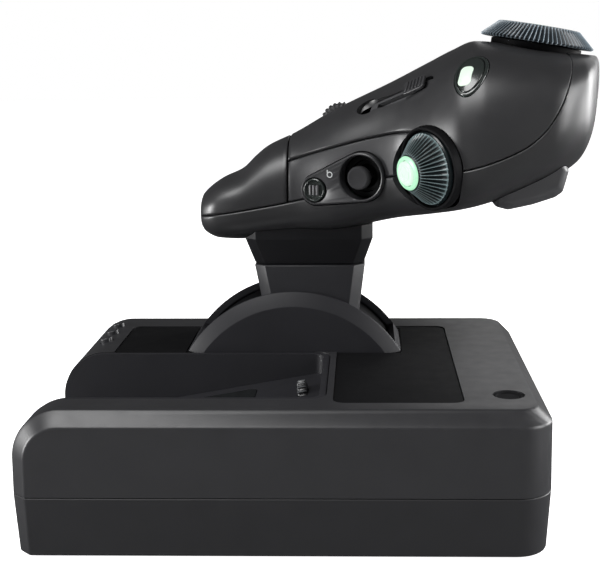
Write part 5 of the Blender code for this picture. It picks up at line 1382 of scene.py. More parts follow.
@dataclass(frozen=True)
class GripForm:
    """Skin of the hand grip, as rounded-square sections that follow listed side and plan lines.

    A section's half width and heights come from smooth curves along X. A point at turn t lies at
    cos(t)^(2/p) of the half width and sin(t)^(2/p) of the height above or below the widest line, where t is 0
    on the near side and 90 degrees on the crest.

    Attributes:
        sections: X, bottom, top, near side and far side of hand-placed sections.
        widest: Height of the widest line along X.
        seam: Height of the seam between the lower shell and the covers along X.
        panel_edge: Height of the thumb panel's upper edge along X.
        squareness: The power p.
    """
    # sections: X, bottom, top, near side and far side of listed sections.

    sections: tuple[tuple[float, ...], ...] = (
        (-36.0, 72.9, 81.4, -11.0, 14.0), (-33.5, 68.4, 84.4, -15.5, 18.5), (-28.0, 66.0, 88.4, -19.0, 22.5),
        (-20.0, 65.6, 92.2, -20.3, 24.5), (-15.0, 66.0, 97.0, -20.4, 25.6), (-10.5, 66.6, 100.6, -20.7, 26.6),
        (0.0, 67.8, 105.6, -22.0, 28.5), (15.0, 69.2, 114.2, -28.0, 31.0), (38.0, 74.4, 125.3, -37.4, 34.0),
        (52.0, 77.4, 132.8, -51.2, 35.3), (60.0, 79.0, 137.0, -56.5, 35.7), (68.0, 80.8, 140.1, -58.0, 36.0),
        (90.0, 88.6, 137.3, -55.5, 35.0), (103.0, 95.0, 135.6, -46.5, 28.5),
        (108.0, 101.4, 135.0, -36.0, 21.0), (111.5, 112.6, 134.6, -21.5, 8.5),
        (113.4, 125.6, 134.3, -12.5, 0.0),
    )
    widest: tuple[Pair, ...] = (
        (-36.0, 76.0), (0.0, 82.0), (35.0, 92.4), (60.0, 97.0), (80.0, 107.0), (97.0, 116.5), (113.4, 130.0),
    )
    seam: tuple[Pair, ...] = (
        (-42.0, 74.5), (0.0, 82.0), (35.0, 92.4), (60.0, 96.6), (80.0, 103.7), (87.4, 109.4), (92.8, 117.4),
        (96.6, 126.4), (99.2, 134.0), (101.8, 148.0),
    )
    panel_edge: tuple[Pair, ...] = (
        (-8.0, 95.0), (15.8, 102.8), (31.0, 106.9), (42.0, 108.9), (60.0, 109.2),
    )
    squareness: float = 2.6

    @property
    def tail(self) -> float:
        """X of the first section."""
        return self.sections[0][0]

    @property
    def nose(self) -> float:
        """X of the last section."""
        return self.sections[-1][0]

    def limits(self, x: np.ndarray) -> list[np.ndarray]:
        """Bottom, top, near side, far side and widest line at places along X."""
        table = np.asarray(self.sections)
        return [monotone(table[:, (0, column)], x) for column in range(1, 5)] + [monotone(self.widest, x)]

    def point(self, x: np.ndarray, turn: np.ndarray, inset: float = 0.0,
              shrink: np.ndarray | float = 1.0) -> np.ndarray:
        """Points of the skin.

        Args:
            x: Places along X.
            turn: Turns round the section.
            inset: How far the section is drawn in.
            shrink: Share of the section's size that is left.

        Returns:
            Points in the shape that x and turn give together.
        """
        bottom, top, near, far, widest = self.limits(np.asarray(x, float))
        side, rise = np.cos(turn), np.sin(turn)
        power = 2.0 / self.squareness
        half = ((far - near) / 2 - inset) * shrink
        height = (np.where(rise > 0.0, top - widest, widest - bottom) - inset) * shrink
        y = (near + far) / 2 - half * np.sign(side) * np.abs(side) ** power
        z = widest + height * np.sign(rise) * np.abs(rise) ** power
        return np.stack(np.broadcast_arrays(x, y, z), axis=-1)

    def turn_at(self, x: np.ndarray, z: np.ndarray) -> np.ndarray:
        """Turn of the near side's points at a height, held between the bottom and the crest.

        Args:
            x: Places along X.
            z: Heights.

        Returns:
            Turns round the near side.
        """
        bottom, top, _, _, widest = self.limits(x)
        share = (z - widest) / np.where(z > widest, top - widest, widest - bottom)
        share = np.clip(share, -1.0, 1.0)
        return np.arcsin(np.sign(share) * np.abs(share) ** (self.squareness / 2.0))

    def near_point(self, x: float, z: float) -> np.ndarray:
        """Point of the near side at a place and a height."""
        place = np.array(x)
        return self.point(place, self.turn_at(place, np.array(z)))

    def place(self, x: float, turn_deg: float) -> Placement:
        """Placement on the skin, Z outwards and X along the grip.

        Args:
            x: Place along X.
            turn_deg: Turn round the section.

        Returns:
            The placement.
        """
        turn, small = math.radians(turn_deg), 1e-3
        here = self.point(np.array(x), turn)
        along = self.point(np.array(x + small), turn) - here
        outward = np.cross(self.point(np.array(x), turn + small) - here, along)
        return Placement.facing(here, outward * np.sign(outward[2]), along)

    def drape(self, place: Placement, reach: float) -> Callable[[Shape], Shape]:
        """How to bend a flat shape on a placement so that it follows the skin.

        The skin about the placement is fitted by a quadric in the placement's own X and Y, whose height is
        added to the shape's own.

        Args:
            place: Placement on the skin.
            reach: How far round it the skin is fitted.

        Returns:
            Function that bends a shape in the placement's own axes.
        """
        x = place.origin[0] + np.linspace(-reach, reach, 41)[:, None]
        turn = np.linspace(0.0, np.pi, 181)[None, :]
        near = (self.point(x, turn).reshape(-1, 3) - place.origin) @ place.axes.T
        near = near[np.linalg.norm(near, axis=1) < reach]

        def terms(points: np.ndarray) -> np.ndarray:
            """Terms of a quadric at places across the placement."""
            u, v = points[:, 0], points[:, 1]
            return np.column_stack((u, v, u * u, u * v, v * v))

        fit = np.linalg.lstsq(terms(near), near[:, 2], rcond=None)[0]

        def bend(shape: Shape) -> Shape:
            """Shape with the skin's height added."""
            lift = (terms(shape.points) @ fit)[:, None] * np.array(UP)
            return replace(shape, points=shape.points + lift)

        return bend

    def solid(self, inset: float, rows: int = 60, columns: int = 96, crowd: float = 0.85) -> Shape:
        """Whole grip as a closed solid, for cutting what meets it, with rows that crowd towards its ends.

        Args:
            inset: How far the skin is drawn in.
            rows: Rows along it.
            columns: Points round a row.
            crowd: Share by which rows close up at the ends.

        Returns:
            A closed shape.
        """
        share = np.linspace(0.0, 1.0, rows)
        share = share - crowd * np.sin(2.0 * np.pi * share) / (2.0 * np.pi)
        x = self.tail + inset + (self.nose - self.tail - 2.0 * inset) * share
        turn = np.linspace(0.0, 2.0 * np.pi, columns, endpoint=False)
        return loft(self.point(x[:, None], turn[None, :], inset))


@dataclass(frozen=True)
class GripRows:
    """Rows along the grip that a moulded cover is built on.

    Attributes:
        x: Where each row lies.
        section: Which section it takes its form from.
        shrink: Share of that section's size that is left, which closes a round end.
        edge: Distance of each row from a seam across the grip.
    """

    x: np.ndarray
    section: np.ndarray
    shrink: np.ndarray
    edge: np.ndarray

    @classmethod
    def between(cls, form: GripForm, start: float, end: float, step: float = 1.6, bulge: float = 1.3,
                curl: float = 12.0, extra: Sequence[float] = ()) -> "GripRows":
        """Rows between two places, close together at seams and rounded off where an end is the grip's own.

        A round end keeps one section, whose share s of its size falls to 0 while it moves out by b (1 - s^2),
        so that the end carries on the sides' slope. Before it, rows lie at c s^2 from the end for even steps
        of s, because the sides curl in faster there.

        Args:
            form: The grip's form.
            start: First place, or the tail.
            end: Last place, or the nose.
            step: Distance between rows.
            bulge: How far b a round end stands out.
            curl: Length c over which rows crowd towards a round end.
            extra: Further places of rows, used where they lie between the ends.

        Returns:
            The rows.
        """
        near_seam, least_step, end_steps, curl_rows = np.array((0.0, 0.08, 0.25, 0.6)), 0.05, 12, 30
        share = np.linspace(0.0, 1.0, end_steps + 1)[:-1]
        out = bulge * (1.0 - share**2)
        at_tail, at_nose = start <= form.tail, end >= form.nose
        start, end = (start + bulge if at_tail else start), (end - bulge if at_nose else end)
        inner = np.linspace(start, end, max(int((end - start) / step), 4))
        crowd = curl * np.linspace(0.0, 1.0, curl_rows) ** 2
        first = start + (crowd if at_tail else near_seam)
        last = end - (crowd if at_nose else near_seam)
        x = np.unique(np.concatenate((inner, first, last, extra)))
        x = x[(x >= start) & (x <= end)]
        x = x[np.append(np.diff(x) > least_step, True)]
        edge = np.minimum(np.inf if at_tail else x - start, np.inf if at_nose else end - x) + 0.0 * x
        rows = [(x, x, np.ones_like(x), edge)]
        far = np.full_like(share, np.inf)
        if at_tail:
            rows.insert(0, (start - out, np.full_like(share, start), share, far))
        if at_nose:
            rows.append(((end + out)[::-1], np.full_like(share, end), share[::-1], far))
        return cls(*(np.concatenate(parts) for parts in zip(*rows)))


@dataclass(frozen=True)
class GripShells:
    """Moulded covers of the grip: lower shell with the nose, palm cover, top cover and thumb panel.

    Attributes:
        form: The grip's form.
        wall: Thickness of a cover.
        edge_round: Radius of a cover's edges.
        seam_gap: Width of a seam.
        palm_seam: X of the seam between the palm cover and the top cover.
        panel_end: X at which the thumb panel ends.
        panel_sink: How far the panel lies below the skin.
        panel_fade: X where the top cover's edge leaves the panel's, and the length over which it does.
        closing: Length over which edges lose their rounding where the lower shell closes.
        columns: Columns of points across a cover between its edges.
        bands: Places of the columns in an edge, as shares of its radius.
        edge_parts: An edge's columns take at most one of this many parts of a row.
        samples: Samples along a row, and along the widest one.
        climb_samples: Samples along the seam where it climbs to the crest.
        turn_step: Turn to each side by which a normal is found.
        shut: Turn from the crest within which the lower shell is closed.
        above: Height over everything, which puts the seam on the crest.
        lip_half: Half the height of a lip behind a seam.
        lip_wall: Its thickness.
        lip_back: How far it stops short of the grip's ends.
    """

    form: GripForm
    wall: float = 2.4
    edge_round: float = 0.7
    seam_gap: float = 0.34
    palm_seam: float = -1.6
    panel_end: float = 50.0
    panel_sink: float = 0.6
    panel_fade: Pair = (44.0, 8.0)
    closing: float = 3.0
    columns: int = 96
    bands: tuple[float, ...] = (0.0, 0.12, 0.36, 0.7, 1.05)
    edge_parts: float = 2.5
    samples: tuple[int, int] = (500, 1500)
    climb_samples: int = 3000
    turn_step: float = 2e-3
    shut: float = 0.006
    above: float = 1e3
    lip_half: float = 2.0
    lip_wall: float = 0.9
    lip_back: float = 5.0

    def sheet(self, rows: GripRows, start: np.ndarray, end: np.ndarray, sink: float = 0.0,
              fade: np.ndarray | float = 1.0) -> Shape:
        """Thick cover between two turns of each row, with rounded edges all round.

        Columns keep their turn from row to row and gather at the edge band where a row is shorter, so the
        skin doesn't twist where a seam runs across the rows. A point at distances c and d from two edges lies
        e - sqrt(e^2 - (e - c)^2 - (e - d)^2) below the skin, so that edges roll over with radius e. The inner
        side is the same section drawn in by the wall.

        Args:
            rows: Rows that the cover is built on.
            start: First turn of each row.
            end: Last turn of each row.
            sink: How far the cover lies below the skin.
            fade: Share of the edge rounding that each row keeps.

        Returns:
            A closed shape.
        """
        form, section, shrink = self.form, rows.section[:, None], rows.shrink[:, None]
        row_samples, span_samples = self.samples
        fine = start[:, None] + (end - start)[:, None] * np.linspace(0.0, 1.0, row_samples)[None, :]
        line = form.point(section, fine, sink)
        length = np.concatenate((np.zeros((len(fine), 1)),
                                 np.cumsum(np.linalg.norm(np.diff(line, axis=1), axis=2), axis=1)), axis=1)
        total = length[:, -1:]
        band = self.edge_round * np.array(self.bands)
        ends = np.minimum(band[None, :], total * band[None, :] / (self.edge_parts * band[-1]))
        span = np.linspace(start.min(), end.max(), span_samples)
        widest = np.argmax(total[:, 0])
        steps = np.linalg.norm(np.diff(form.point(section[widest], span, sink), axis=0), axis=1)
        reach = np.append(0.0, np.cumsum(steps))
        fixed = np.interp(np.linspace(0.0, reach[-1], self.columns), reach, span)
        middle = np.stack([np.interp(fixed, f, row) for f, row in zip(fine, length)])
        middle = np.clip(middle, ends[:, -1:], total - ends[:, -1:])
        along = np.hstack((ends, middle, total - ends[:, ::-1]))
        turn = np.stack([np.interp(a, row, f) for a, row, f in zip(along, length, fine)])
        outer = form.point(section, turn, sink, shrink)
        tangent = (form.point(section, turn + self.turn_step, sink, shrink)
                   - form.point(section, turn - self.turn_step, sink, shrink))
        normal = np.stack((0.0 * tangent[..., 0], -tangent[..., 2], tangent[..., 1]), axis=-1)
        normal /= np.maximum(np.linalg.norm(normal, axis=-1, keepdims=True), TINY)
        side = np.sign(np.sum(normal * (outer - outer.mean(axis=1, keepdims=True)), axis=(1, 2)))
        normal *= np.where(side == 0.0, 1.0, side)[:, None, None]
        e = self.edge_round
        across = np.clip(e - np.minimum(along, total - along), 0.0, e)
        lengthwise = np.clip(e - rows.edge, 0.0, e)[:, None]
        roll = e - np.sqrt(np.maximum(e**2 - across**2 - lengthwise**2, 0.0))
        kept = np.broadcast_to(np.asarray(fade, float), len(roll))[:, None]
        outer = outer - normal * (roll * kept)[..., None]
        outer[..., 0] = rows.x[:, None]
        inner_x = np.clip(rows.x, form.tail + self.wall, form.nose - self.wall)
        inner = form.point(inner_x[:, None], turn, self.wall + sink, shrink)
        count = turn.shape[1]
        rings = np.concatenate((outer, inner[:, ::-1]), axis=1)
        quads = grid_quads(len(rings), 2 * count, False, True)
        outer_ids = np.arange(count)
        inner_ids = 2 * count - 1 - outer_ids
        strip = np.column_stack((outer_ids[:-1], outer_ids[1:], inner_ids[1:], inner_ids[:-1]))
        last = (len(rings) - 1) * 2 * count
        return Shape(rings.reshape(-1, 3), np.vstack((quads, strip, strip + last)))

    def seam_turn(self, section: np.ndarray, shift: float) -> np.ndarray:
        """Turn of the shell seam at each section, moved up or down by a shift.

        Args:
            section: Places of the sections along X.
            shift: How far up the line is moved.

        Returns:
            Turns round the near side.
        """
        (first, _), (last, _) = self.form.seam[0], self.form.seam[-1]
        height = monotone(self.form.seam, np.clip(section, first, last)) + shift
        return self.form.turn_at(section, np.where(section > last, self.above, height))

    def panel_turn(self, section: np.ndarray, shift: float) -> np.ndarray:
        """Turn of the thumb panel's upper edge at each section, moved up or down by a shift.

        Args:
            section: Places of the sections along X.
            shift: How far up the line is moved.

        Returns:
            Turns round the near side.
        """
        (first, _), (last, _) = self.form.panel_edge[0], self.form.panel_edge[-1]
        height = monotone(self.form.panel_edge, np.clip(section, first, last)) + shift
        return self.form.turn_at(section, height)

    def crest_x(self) -> float:
        """X at which the seam meets the crest."""
        x = np.linspace(self.form.seam[-4][0], self.form.seam[-1][0], 600)
        return float(x[np.argmax(monotone(self.form.seam, x) >= self.form.limits(x)[1])])

    def seam_rows(self, count: int = 56) -> np.ndarray:
        """X of rows that take even steps round the section while the seam climbs to the crest.

        Args:
            count: How many rows.

        Returns:
            Places along X.
        """
        x = np.linspace(self.form.seam[3][0], self.crest_x(), self.climb_samples)
        turn = np.maximum.accumulate(self.seam_turn(x, 0.0))
        return np.interp(np.linspace(turn[0], turn[-1], count), turn, x)

    def lower_shell(self) -> Shape:
        """Shell from seam to seam under the grip, closing over the crest at the nose.

        Returns:
            A closed shape.
        """
        rows = GripRows.between(self.form, self.form.tail, self.form.nose, extra=self.seam_rows())
        turn = self.seam_turn(rows.section, -self.seam_gap / 2)
        turn = np.where(turn > np.pi / 2 - self.shut, np.pi / 2, turn)
        fade = np.clip((self.crest_x() - rows.x) / self.closing, 0.0, 1.0)
        return self.sheet(rows, -np.pi - turn, turn, fade=fade)

    def palm_cover(self) -> Shape:
        """Cover over the tail, from seam to seam.

        Returns:
            A closed shape.
        """
        rows = GripRows.between(self.form, self.form.tail, self.palm_seam - self.seam_gap / 2)
        turn = self.seam_turn(rows.section, self.seam_gap / 2)
        return self.sheet(rows, turn, np.pi - turn)

    def top_cover(self) -> Shape:
        """Cover over the crest, from the panel's edge and then the near seam to the far seam.

        Returns:
            A closed shape.
        """
        rows = GripRows.between(self.form, self.palm_seam + self.seam_gap / 2, self.crest_x() - self.seam_gap,
                                step=1.0, extra=self.seam_rows())
        seam = self.seam_turn(rows.section, self.seam_gap / 2)
        panel = self.panel_turn(rows.section, self.seam_gap / 2)
        start, length = self.panel_fade
        share = np.clip((rows.section - start) / length, 0.0, 1.0)
        share = share * share * (3.0 - 2.0 * share)
        return self.sheet(rows, panel + (seam - panel) * share, np.pi - seam)

    def thumb_panel(self) -> Shape:
        """Slightly sunk panel on the near side under the top cover's edge.

        Returns:
            A closed shape.
        """
        rows = GripRows.between(self.form, self.palm_seam + self.seam_gap / 2, self.panel_end)
        low = self.seam_turn(rows.section, self.seam_gap / 2)
        return self.sheet(rows, low, self.panel_turn(rows.section, -self.seam_gap / 2), self.panel_sink)

    def seam_lips(self) -> tuple[Shape, Shape]:
        """Thin lips inside the near and far shell seams, which keep light out.

        Returns:
            The near lip and the far lip.
        """
        rows = GripRows.between(self.form, self.form.tail + self.lip_back, self.crest_x() - self.lip_back)
        thin = replace(self, wall=self.lip_wall, edge_round=0.2, columns=10)
        low, high = (self.seam_turn(rows.section, shift) for shift in (-self.lip_half, self.lip_half))
        under = self.wall + self.panel_sink + GAP / 2
        return thin.sheet(rows, low, high, under), thin.sheet(rows, np.pi - high, np.pi - low, under)

    def build(self, thumb: "ThumbCluster", knob: "ThumbKnob", dial: "TopDial", controls: "CoverControls",
              column: "LeverColumn") -> None:
        """Covers with the openings of every control.

        Args:
            thumb: Pill with the thumb button and the mini stick.
            knob: Thumb knob.
            dial: Top dial.
            controls: Controls on the top cover.
            column: Neck and arm below the grip.
        """
        near_lip, far_lip = self.seam_lips()
        sides = (thumb.opening(), knob.opening())
        crest = (*sides, dial.opening(), dial.recess(), *controls.openings())
        for name, shape, finish, nodes, cuts in (
                ("grip_lower", self.lower_shell(), GRIP_PLASTIC, ["lower_shell"],
                 (column.arm_cut(), *sides, dial.recess())),
                ("seam_lip_near", near_lip, GRIP_PLASTIC, [], sides),
                ("seam_lip_far", far_lip, GRIP_PLASTIC, [], sides),
                ("grip_palm", self.palm_cover(), GRIP_PLASTIC, ["palm_cover"], ()),
                ("grip_top", self.top_cover(), GRIP_PLASTIC, ["top_cover"], crest),
                ("grip_panel", self.thumb_panel(), PANEL_PLASTIC, ["thumb_panel"], sides)):
            add(name, shape, Datum.LEVER, "lever", Slot.GRIP, finish, *nodes, cuts=cuts)


@dataclass(frozen=True)
class LeverColumn:
    """What joins the grip to the pivot: slot shield, neck and collar."""

    form: GripForm
    shield_radii: Pair = (42.3, 43.8)
    shield_half: float = 16.35
    shield_deg: Pair = (-72.0, 84.0)
    arm_x: Pair = (-1.0, 15.0)
    arm_half: float = 6.5
    arm_top: float = 80.0
    neck_half: float = 15.05
    neck_low: tuple[float, float, float] = (-9.8, 23.5, 30.0)
    neck_high: tuple[float, float, float] = (-14.9, 26.9, 57.0)
    chamfer: float = 4.2
    corner_round: float = 0.9
    neck_foot: float = 44.1
    collar_x: Pair = (-18.2, 29.9)
    collar_half: float = 17.0
    collar_draw: float = 3.4
    collar_z: tuple[float, float, float] = (57.3, 67.15, 80.0)

    def arm_cut(self) -> Shape:
        """Room for the lever's arm, for cutting."""
        (x0, x1), half = self.arm_x, self.arm_half + GAP
        return block((x0 - GAP, x1 + GAP), (-half, half), (0.0, self.arm_top + PAST))

    def outline(self, x0: float, x1: float, half: float) -> np.ndarray:
        """Rectangle with cut corners whose eight edges are rounded.

        Args:
            x0: Least X.
            x1: Greatest X.
            half: Half its width.

        Returns:
            Flat points in order.
        """
        c = self.chamfer
        corners = ((x0 + c, -half), (x1 - c, -half), (x1, -half + c), (x1, half - c), (x1 - c, half),
                   (x0 + c, half), (x0, half - c), (x0, -half + c))
        return filleted(corners, self.corner_round, 4)

    def build_shield(self) -> None:
        """Curved shield that closes the slot under the hood."""
        inner, outer = self.shield_radii
        back, ahead = (90.0 - turn for turn in self.shield_deg)
        band = np.vstack((arc((0.0, 0.0), outer, back, ahead, 80), arc((0.0, 0.0), inner, ahead, back, 80)))
        shield = side_prism(band, -self.shield_half, self.shield_half)
        add("slot_cover", shield, Datum.LEVER, "lever", Slot.DECK, DECK_PLASTIC, "slot_shield",
            cuts=[self.arm_cut()])

    def build_neck(self) -> None:
        """Neck that widens upwards, with a rounded upper rim and a foot that follows the shield."""
        (*low_x, low_z), (*high_x, high_z) = self.neck_low, self.neck_high
        low, high = self.outline(*low_x, self.neck_half), self.outline(*high_x, self.neck_half)
        turn = np.linspace(0.0, 0.5 * np.pi, 5)
        rim, reach = 0.5, 30.0
        flats = [low, *(grown(high, -rim * (1.0 - np.cos(t))) for t in turn)]
        height = [low_z, *(high_z - rim * (1.0 - np.sin(turn)))]
        foot = rod(self.neck_foot, -reach, reach, 160).at(Placement.facing((0, 0, 0), (0, 1, 0)))
        add("lever_column", levels(flats, height), Datum.LEVER, "lever", Slot.GRIP, NECK_PLASTIC,
            "lever_neck", cuts=[foot, self.arm_cut()])

    def build_collar(self) -> None:
        """Collar under the grip, drawn in at its foot and hugging the shell above it."""
        low, widest, top = self.collar_z
        corners = ((self.collar_draw + 2.0, low), (self.collar_draw, low), (0.0, widest), (0.0, top))
        line = filleted(corners, (0.0, 0.5, 0.8, 0.0), 4, closed=False)
        (x0, x1), half = self.collar_x, self.collar_half
        flats = [self.outline(x0 + draw, x1 - draw, half - draw) for draw in line[:, 0]]
        # the collar is near black, darker than the neck: painted shade from the grip above it
        add("grip_collar", levels(flats, line[:, 1]), Datum.LEVER, "lever", Slot.GRIP, SHADED_COLLAR_PLASTIC,
            "neck_collar", cuts=[self.form.solid(-GAP), self.arm_cut()])

    def build(self) -> None:
        """Every piece of the column."""
        self.build_shield()
        self.build_neck()
        self.build_collar()


@dataclass(frozen=True)
class FingerRest:
    """Rest under the nose: a side outline carried across the grip and drawn in at its ends."""

    form: GripForm
    outline: tuple[Pair, ...] = (
        (71.5, 86.0), (73.0, 82.0), (77.5, 80.8), (86.0, 82.6), (94.0, 85.2), (96.8, 87.2), (98.0, 91.5),
        (98.9, 95.0), (95.0, 102.0), (71.5, 95.0),
    )
    near: float = -44.0
    far: float = 25.0
    corner_round: float = 2.2
    end_share: float = 0.72
    end_reach: float = 8.6

    def build(self) -> None:
        """Rest whose outline shrinks along an ellipse's quarter at each end, cut to the shell above it."""
        flat = filleted(self.outline, self.corner_round, 5)
        corners = np.asarray(self.outline)
        seat = corners.mean(axis=0) + (0.0, np.ptp(corners[:, 1]) / 2)
        turn = np.radians(np.linspace(0.0, 90.0, 10))
        share = self.end_share + (1.0 - self.end_share) * np.sin(turn)
        depth = self.end_reach * (1.0 - np.cos(turn))
        y = np.concatenate((self.near + depth, self.far - depth[::-1]))
        scale = np.concatenate((share, share[::-1]))[:, None, None]
        rings = seat + (flat - seat)[None] * scale
        rings = np.stack((rings[..., 0], y[:, None] + 0.0 * rings[..., 0], rings[..., 1]), axis=-1)
        add("finger_ledge", loft(rings), Datum.LEVER, "lever", Slot.GRIP, REST_PLASTIC, "finger_rest",
            cuts=[self.form.solid(-GAP)])


@dataclass(frozen=True)
class ThumbCluster:
    """Pill-shaped plate on the near side with a ridged thumb button and a mini stick in a well."""

    form: GripForm
    at_x: float = 17.2
    at_z: float = 89.5
    yaw_deg: float = 22.0
    span: float = 17.9
    rise: float = 5.2
    small: float = 5.6
    large: float = 9.0
    proud: float = 0.8
    thick: float = 5.0
    plate_gap: float = 0.4
    plate_edge: float = 0.9
    flare: float = 0.6
    button_radius: float = 4.2
    button_proud: float = 1.4
    ridge_half: Pair = (0.4, 1.9)
    ridge_x: tuple[float, ...] = (-1.35, 0.0, 1.35)
    well_radius: float = 7.9
    stick_depth: float = 8.0
    stem_radius: float = 1.5
    stem_foot: float = -1.3
    cap_radius: float = 4.2
    cap_height: float = 3.2
    stick_proud: float = 2.2
    mark_span: Pair = (-0.05, 0.06)
    mark_radii: Pair = (0.75, 1.15)

    def place(self) -> Placement:
        """Placement of the plate's face, X along the grip.

        Returns:
            The placement.
        """
        yaw = math.radians(self.yaw_deg)
        out = np.array((-math.sin(yaw), -math.cos(yaw), 0.0))
        along = (math.cos(yaw), -math.sin(yaw), 0.0)
        return Placement.facing(self.form.near_point(self.at_x, self.at_z) + self.proud * out, out, along)

    def outline(self) -> np.ndarray:
        """Outline of the plate."""
        return two_circle_outline(self.span, self.rise, self.small, self.large)

    def opening(self) -> Shape:
        """Opening for the plate, for cutting."""
        return prism(grown(self.outline(), self.plate_gap), -self.thick - PAST, PAST).at(self.place())

    def button_place(self) -> Placement:
        """Placement of the thumb button."""
        return self.place().shifted(-self.span / 2, -self.rise / 2)

    def well_place(self) -> Placement:
        """Placement of the well's rim."""
        return self.place().shifted(self.span / 2, self.rise / 2)

    def hole(self, radius: float) -> Shape:
        """Hole cutter that opens out at the plate's face.

        Args:
            radius: Radius below the face.

        Returns:
            A closed shape.
        """
        flare, low = self.flare, -self.thick - PAST
        profile = ((radius, low), (radius, -flare), (radius + 0.3 * flare, -0.3 * flare),
                   (radius + flare, 0.0), (radius + flare, PAST))
        return lathe(np.array(profile))

    def build_plate(self) -> None:
        """Plate with a rounded rim and flared holes."""
        plate = pillow(self.outline(), -self.thick, 0.0, self.plate_edge).at(self.place())
        add("thumb_plate", plate, Datum.LEVER, "lever", Slot.GRIP, PANEL_PLASTIC, "thumb_bezel",
            cuts=[self.hole(self.button_radius + GAP).at(self.button_place()),
                  self.hole(self.well_radius).at(self.well_place())])

    def build_button(self) -> None:
        """Round thumb button with a dished face and three upright ridges."""
        place, radius, top = self.button_place(), self.button_radius, self.button_proud
        profile = ((0.0, -self.thick), (radius, -self.thick), (radius, top - 0.9), (radius - 0.5, top - 0.6),
                   (radius - 1.1, top - 1.5), (0.0, top - 1.7))
        button = turned(profile, (0, 0.2, 0.2, 0.2, 0.4, 0)).at(place)
        add("dished_button", button, Datum.LEVER, "thumb_button", Slot.DECK, GLOSS_PLASTIC, "thumb_button")
        ridge = pillow(rounded_rectangle(*self.ridge_half, 0.38, 6), top - 2.4, top - 0.2, 0.3)
        ridges = together(*(ridge.at(place.shifted(x)) for x in self.ridge_x))
        # the ridges take a paler plastic than the button: painted highlight
        add("button_ridges", ridges, Datum.LEVER, "thumb_button", Slot.DECK, RIDGE_HIGHLIGHT_PLASTIC)

    def build_stick(self) -> None:
        """Mini stick with a waisted stem and a dished cap."""
        top, stem, foot = self.stick_depth + self.stick_proud, self.stem_radius, self.stem_foot
        low, cap = top - self.cap_height, self.cap_radius
        profile = ((0.0, foot), (stem, foot), (stem, low - 0.4), (cap - 0.5, low), (cap, low + 0.5),
                   (cap, top - 0.5), (cap - 0.7, top), (0.0, top - 1.1))
        stick = turned(profile, (0, 0, 0.6, 0.3, 0.4, 0.5, 0.4, 0))
        add("stick_nub", stick.at(self.well_place().shifted(z=-self.stick_depth)), Datum.LEVER, "thumb_stick",
            Slot.RUBBER, STICK_RUBBER, "thumb_stick")

    def build_mark(self) -> None:
        """Small printed pictogram between the button and the well: a ring with a short bar above it."""
        place = self.place().shifted(-self.span * 0.16, self.rise * 0.62, 0.0)
        (low, high), (inner, outer) = self.mark_span, self.mark_radii
        ring = turned_ring(((inner, low), (outer, low), (outer, high), (inner, high)), 0.02, SMALL_ROUND)
        bar = pillow(rounded_rectangle(0.2, 0.55, 0.15, 4), low, high, 0.02)
        mark = together(ring.at(place), bar.at(place.shifted(-0.9, 1.2)))
        add("plate_mark", mark, Datum.LEVER, "lever", Slot.GRIP, MARK_PAINT)

    def build(self) -> None:
        """Every piece of the cluster."""
        self.build_plate()
        self.build_button()
        self.build_stick()
        self.build_mark()


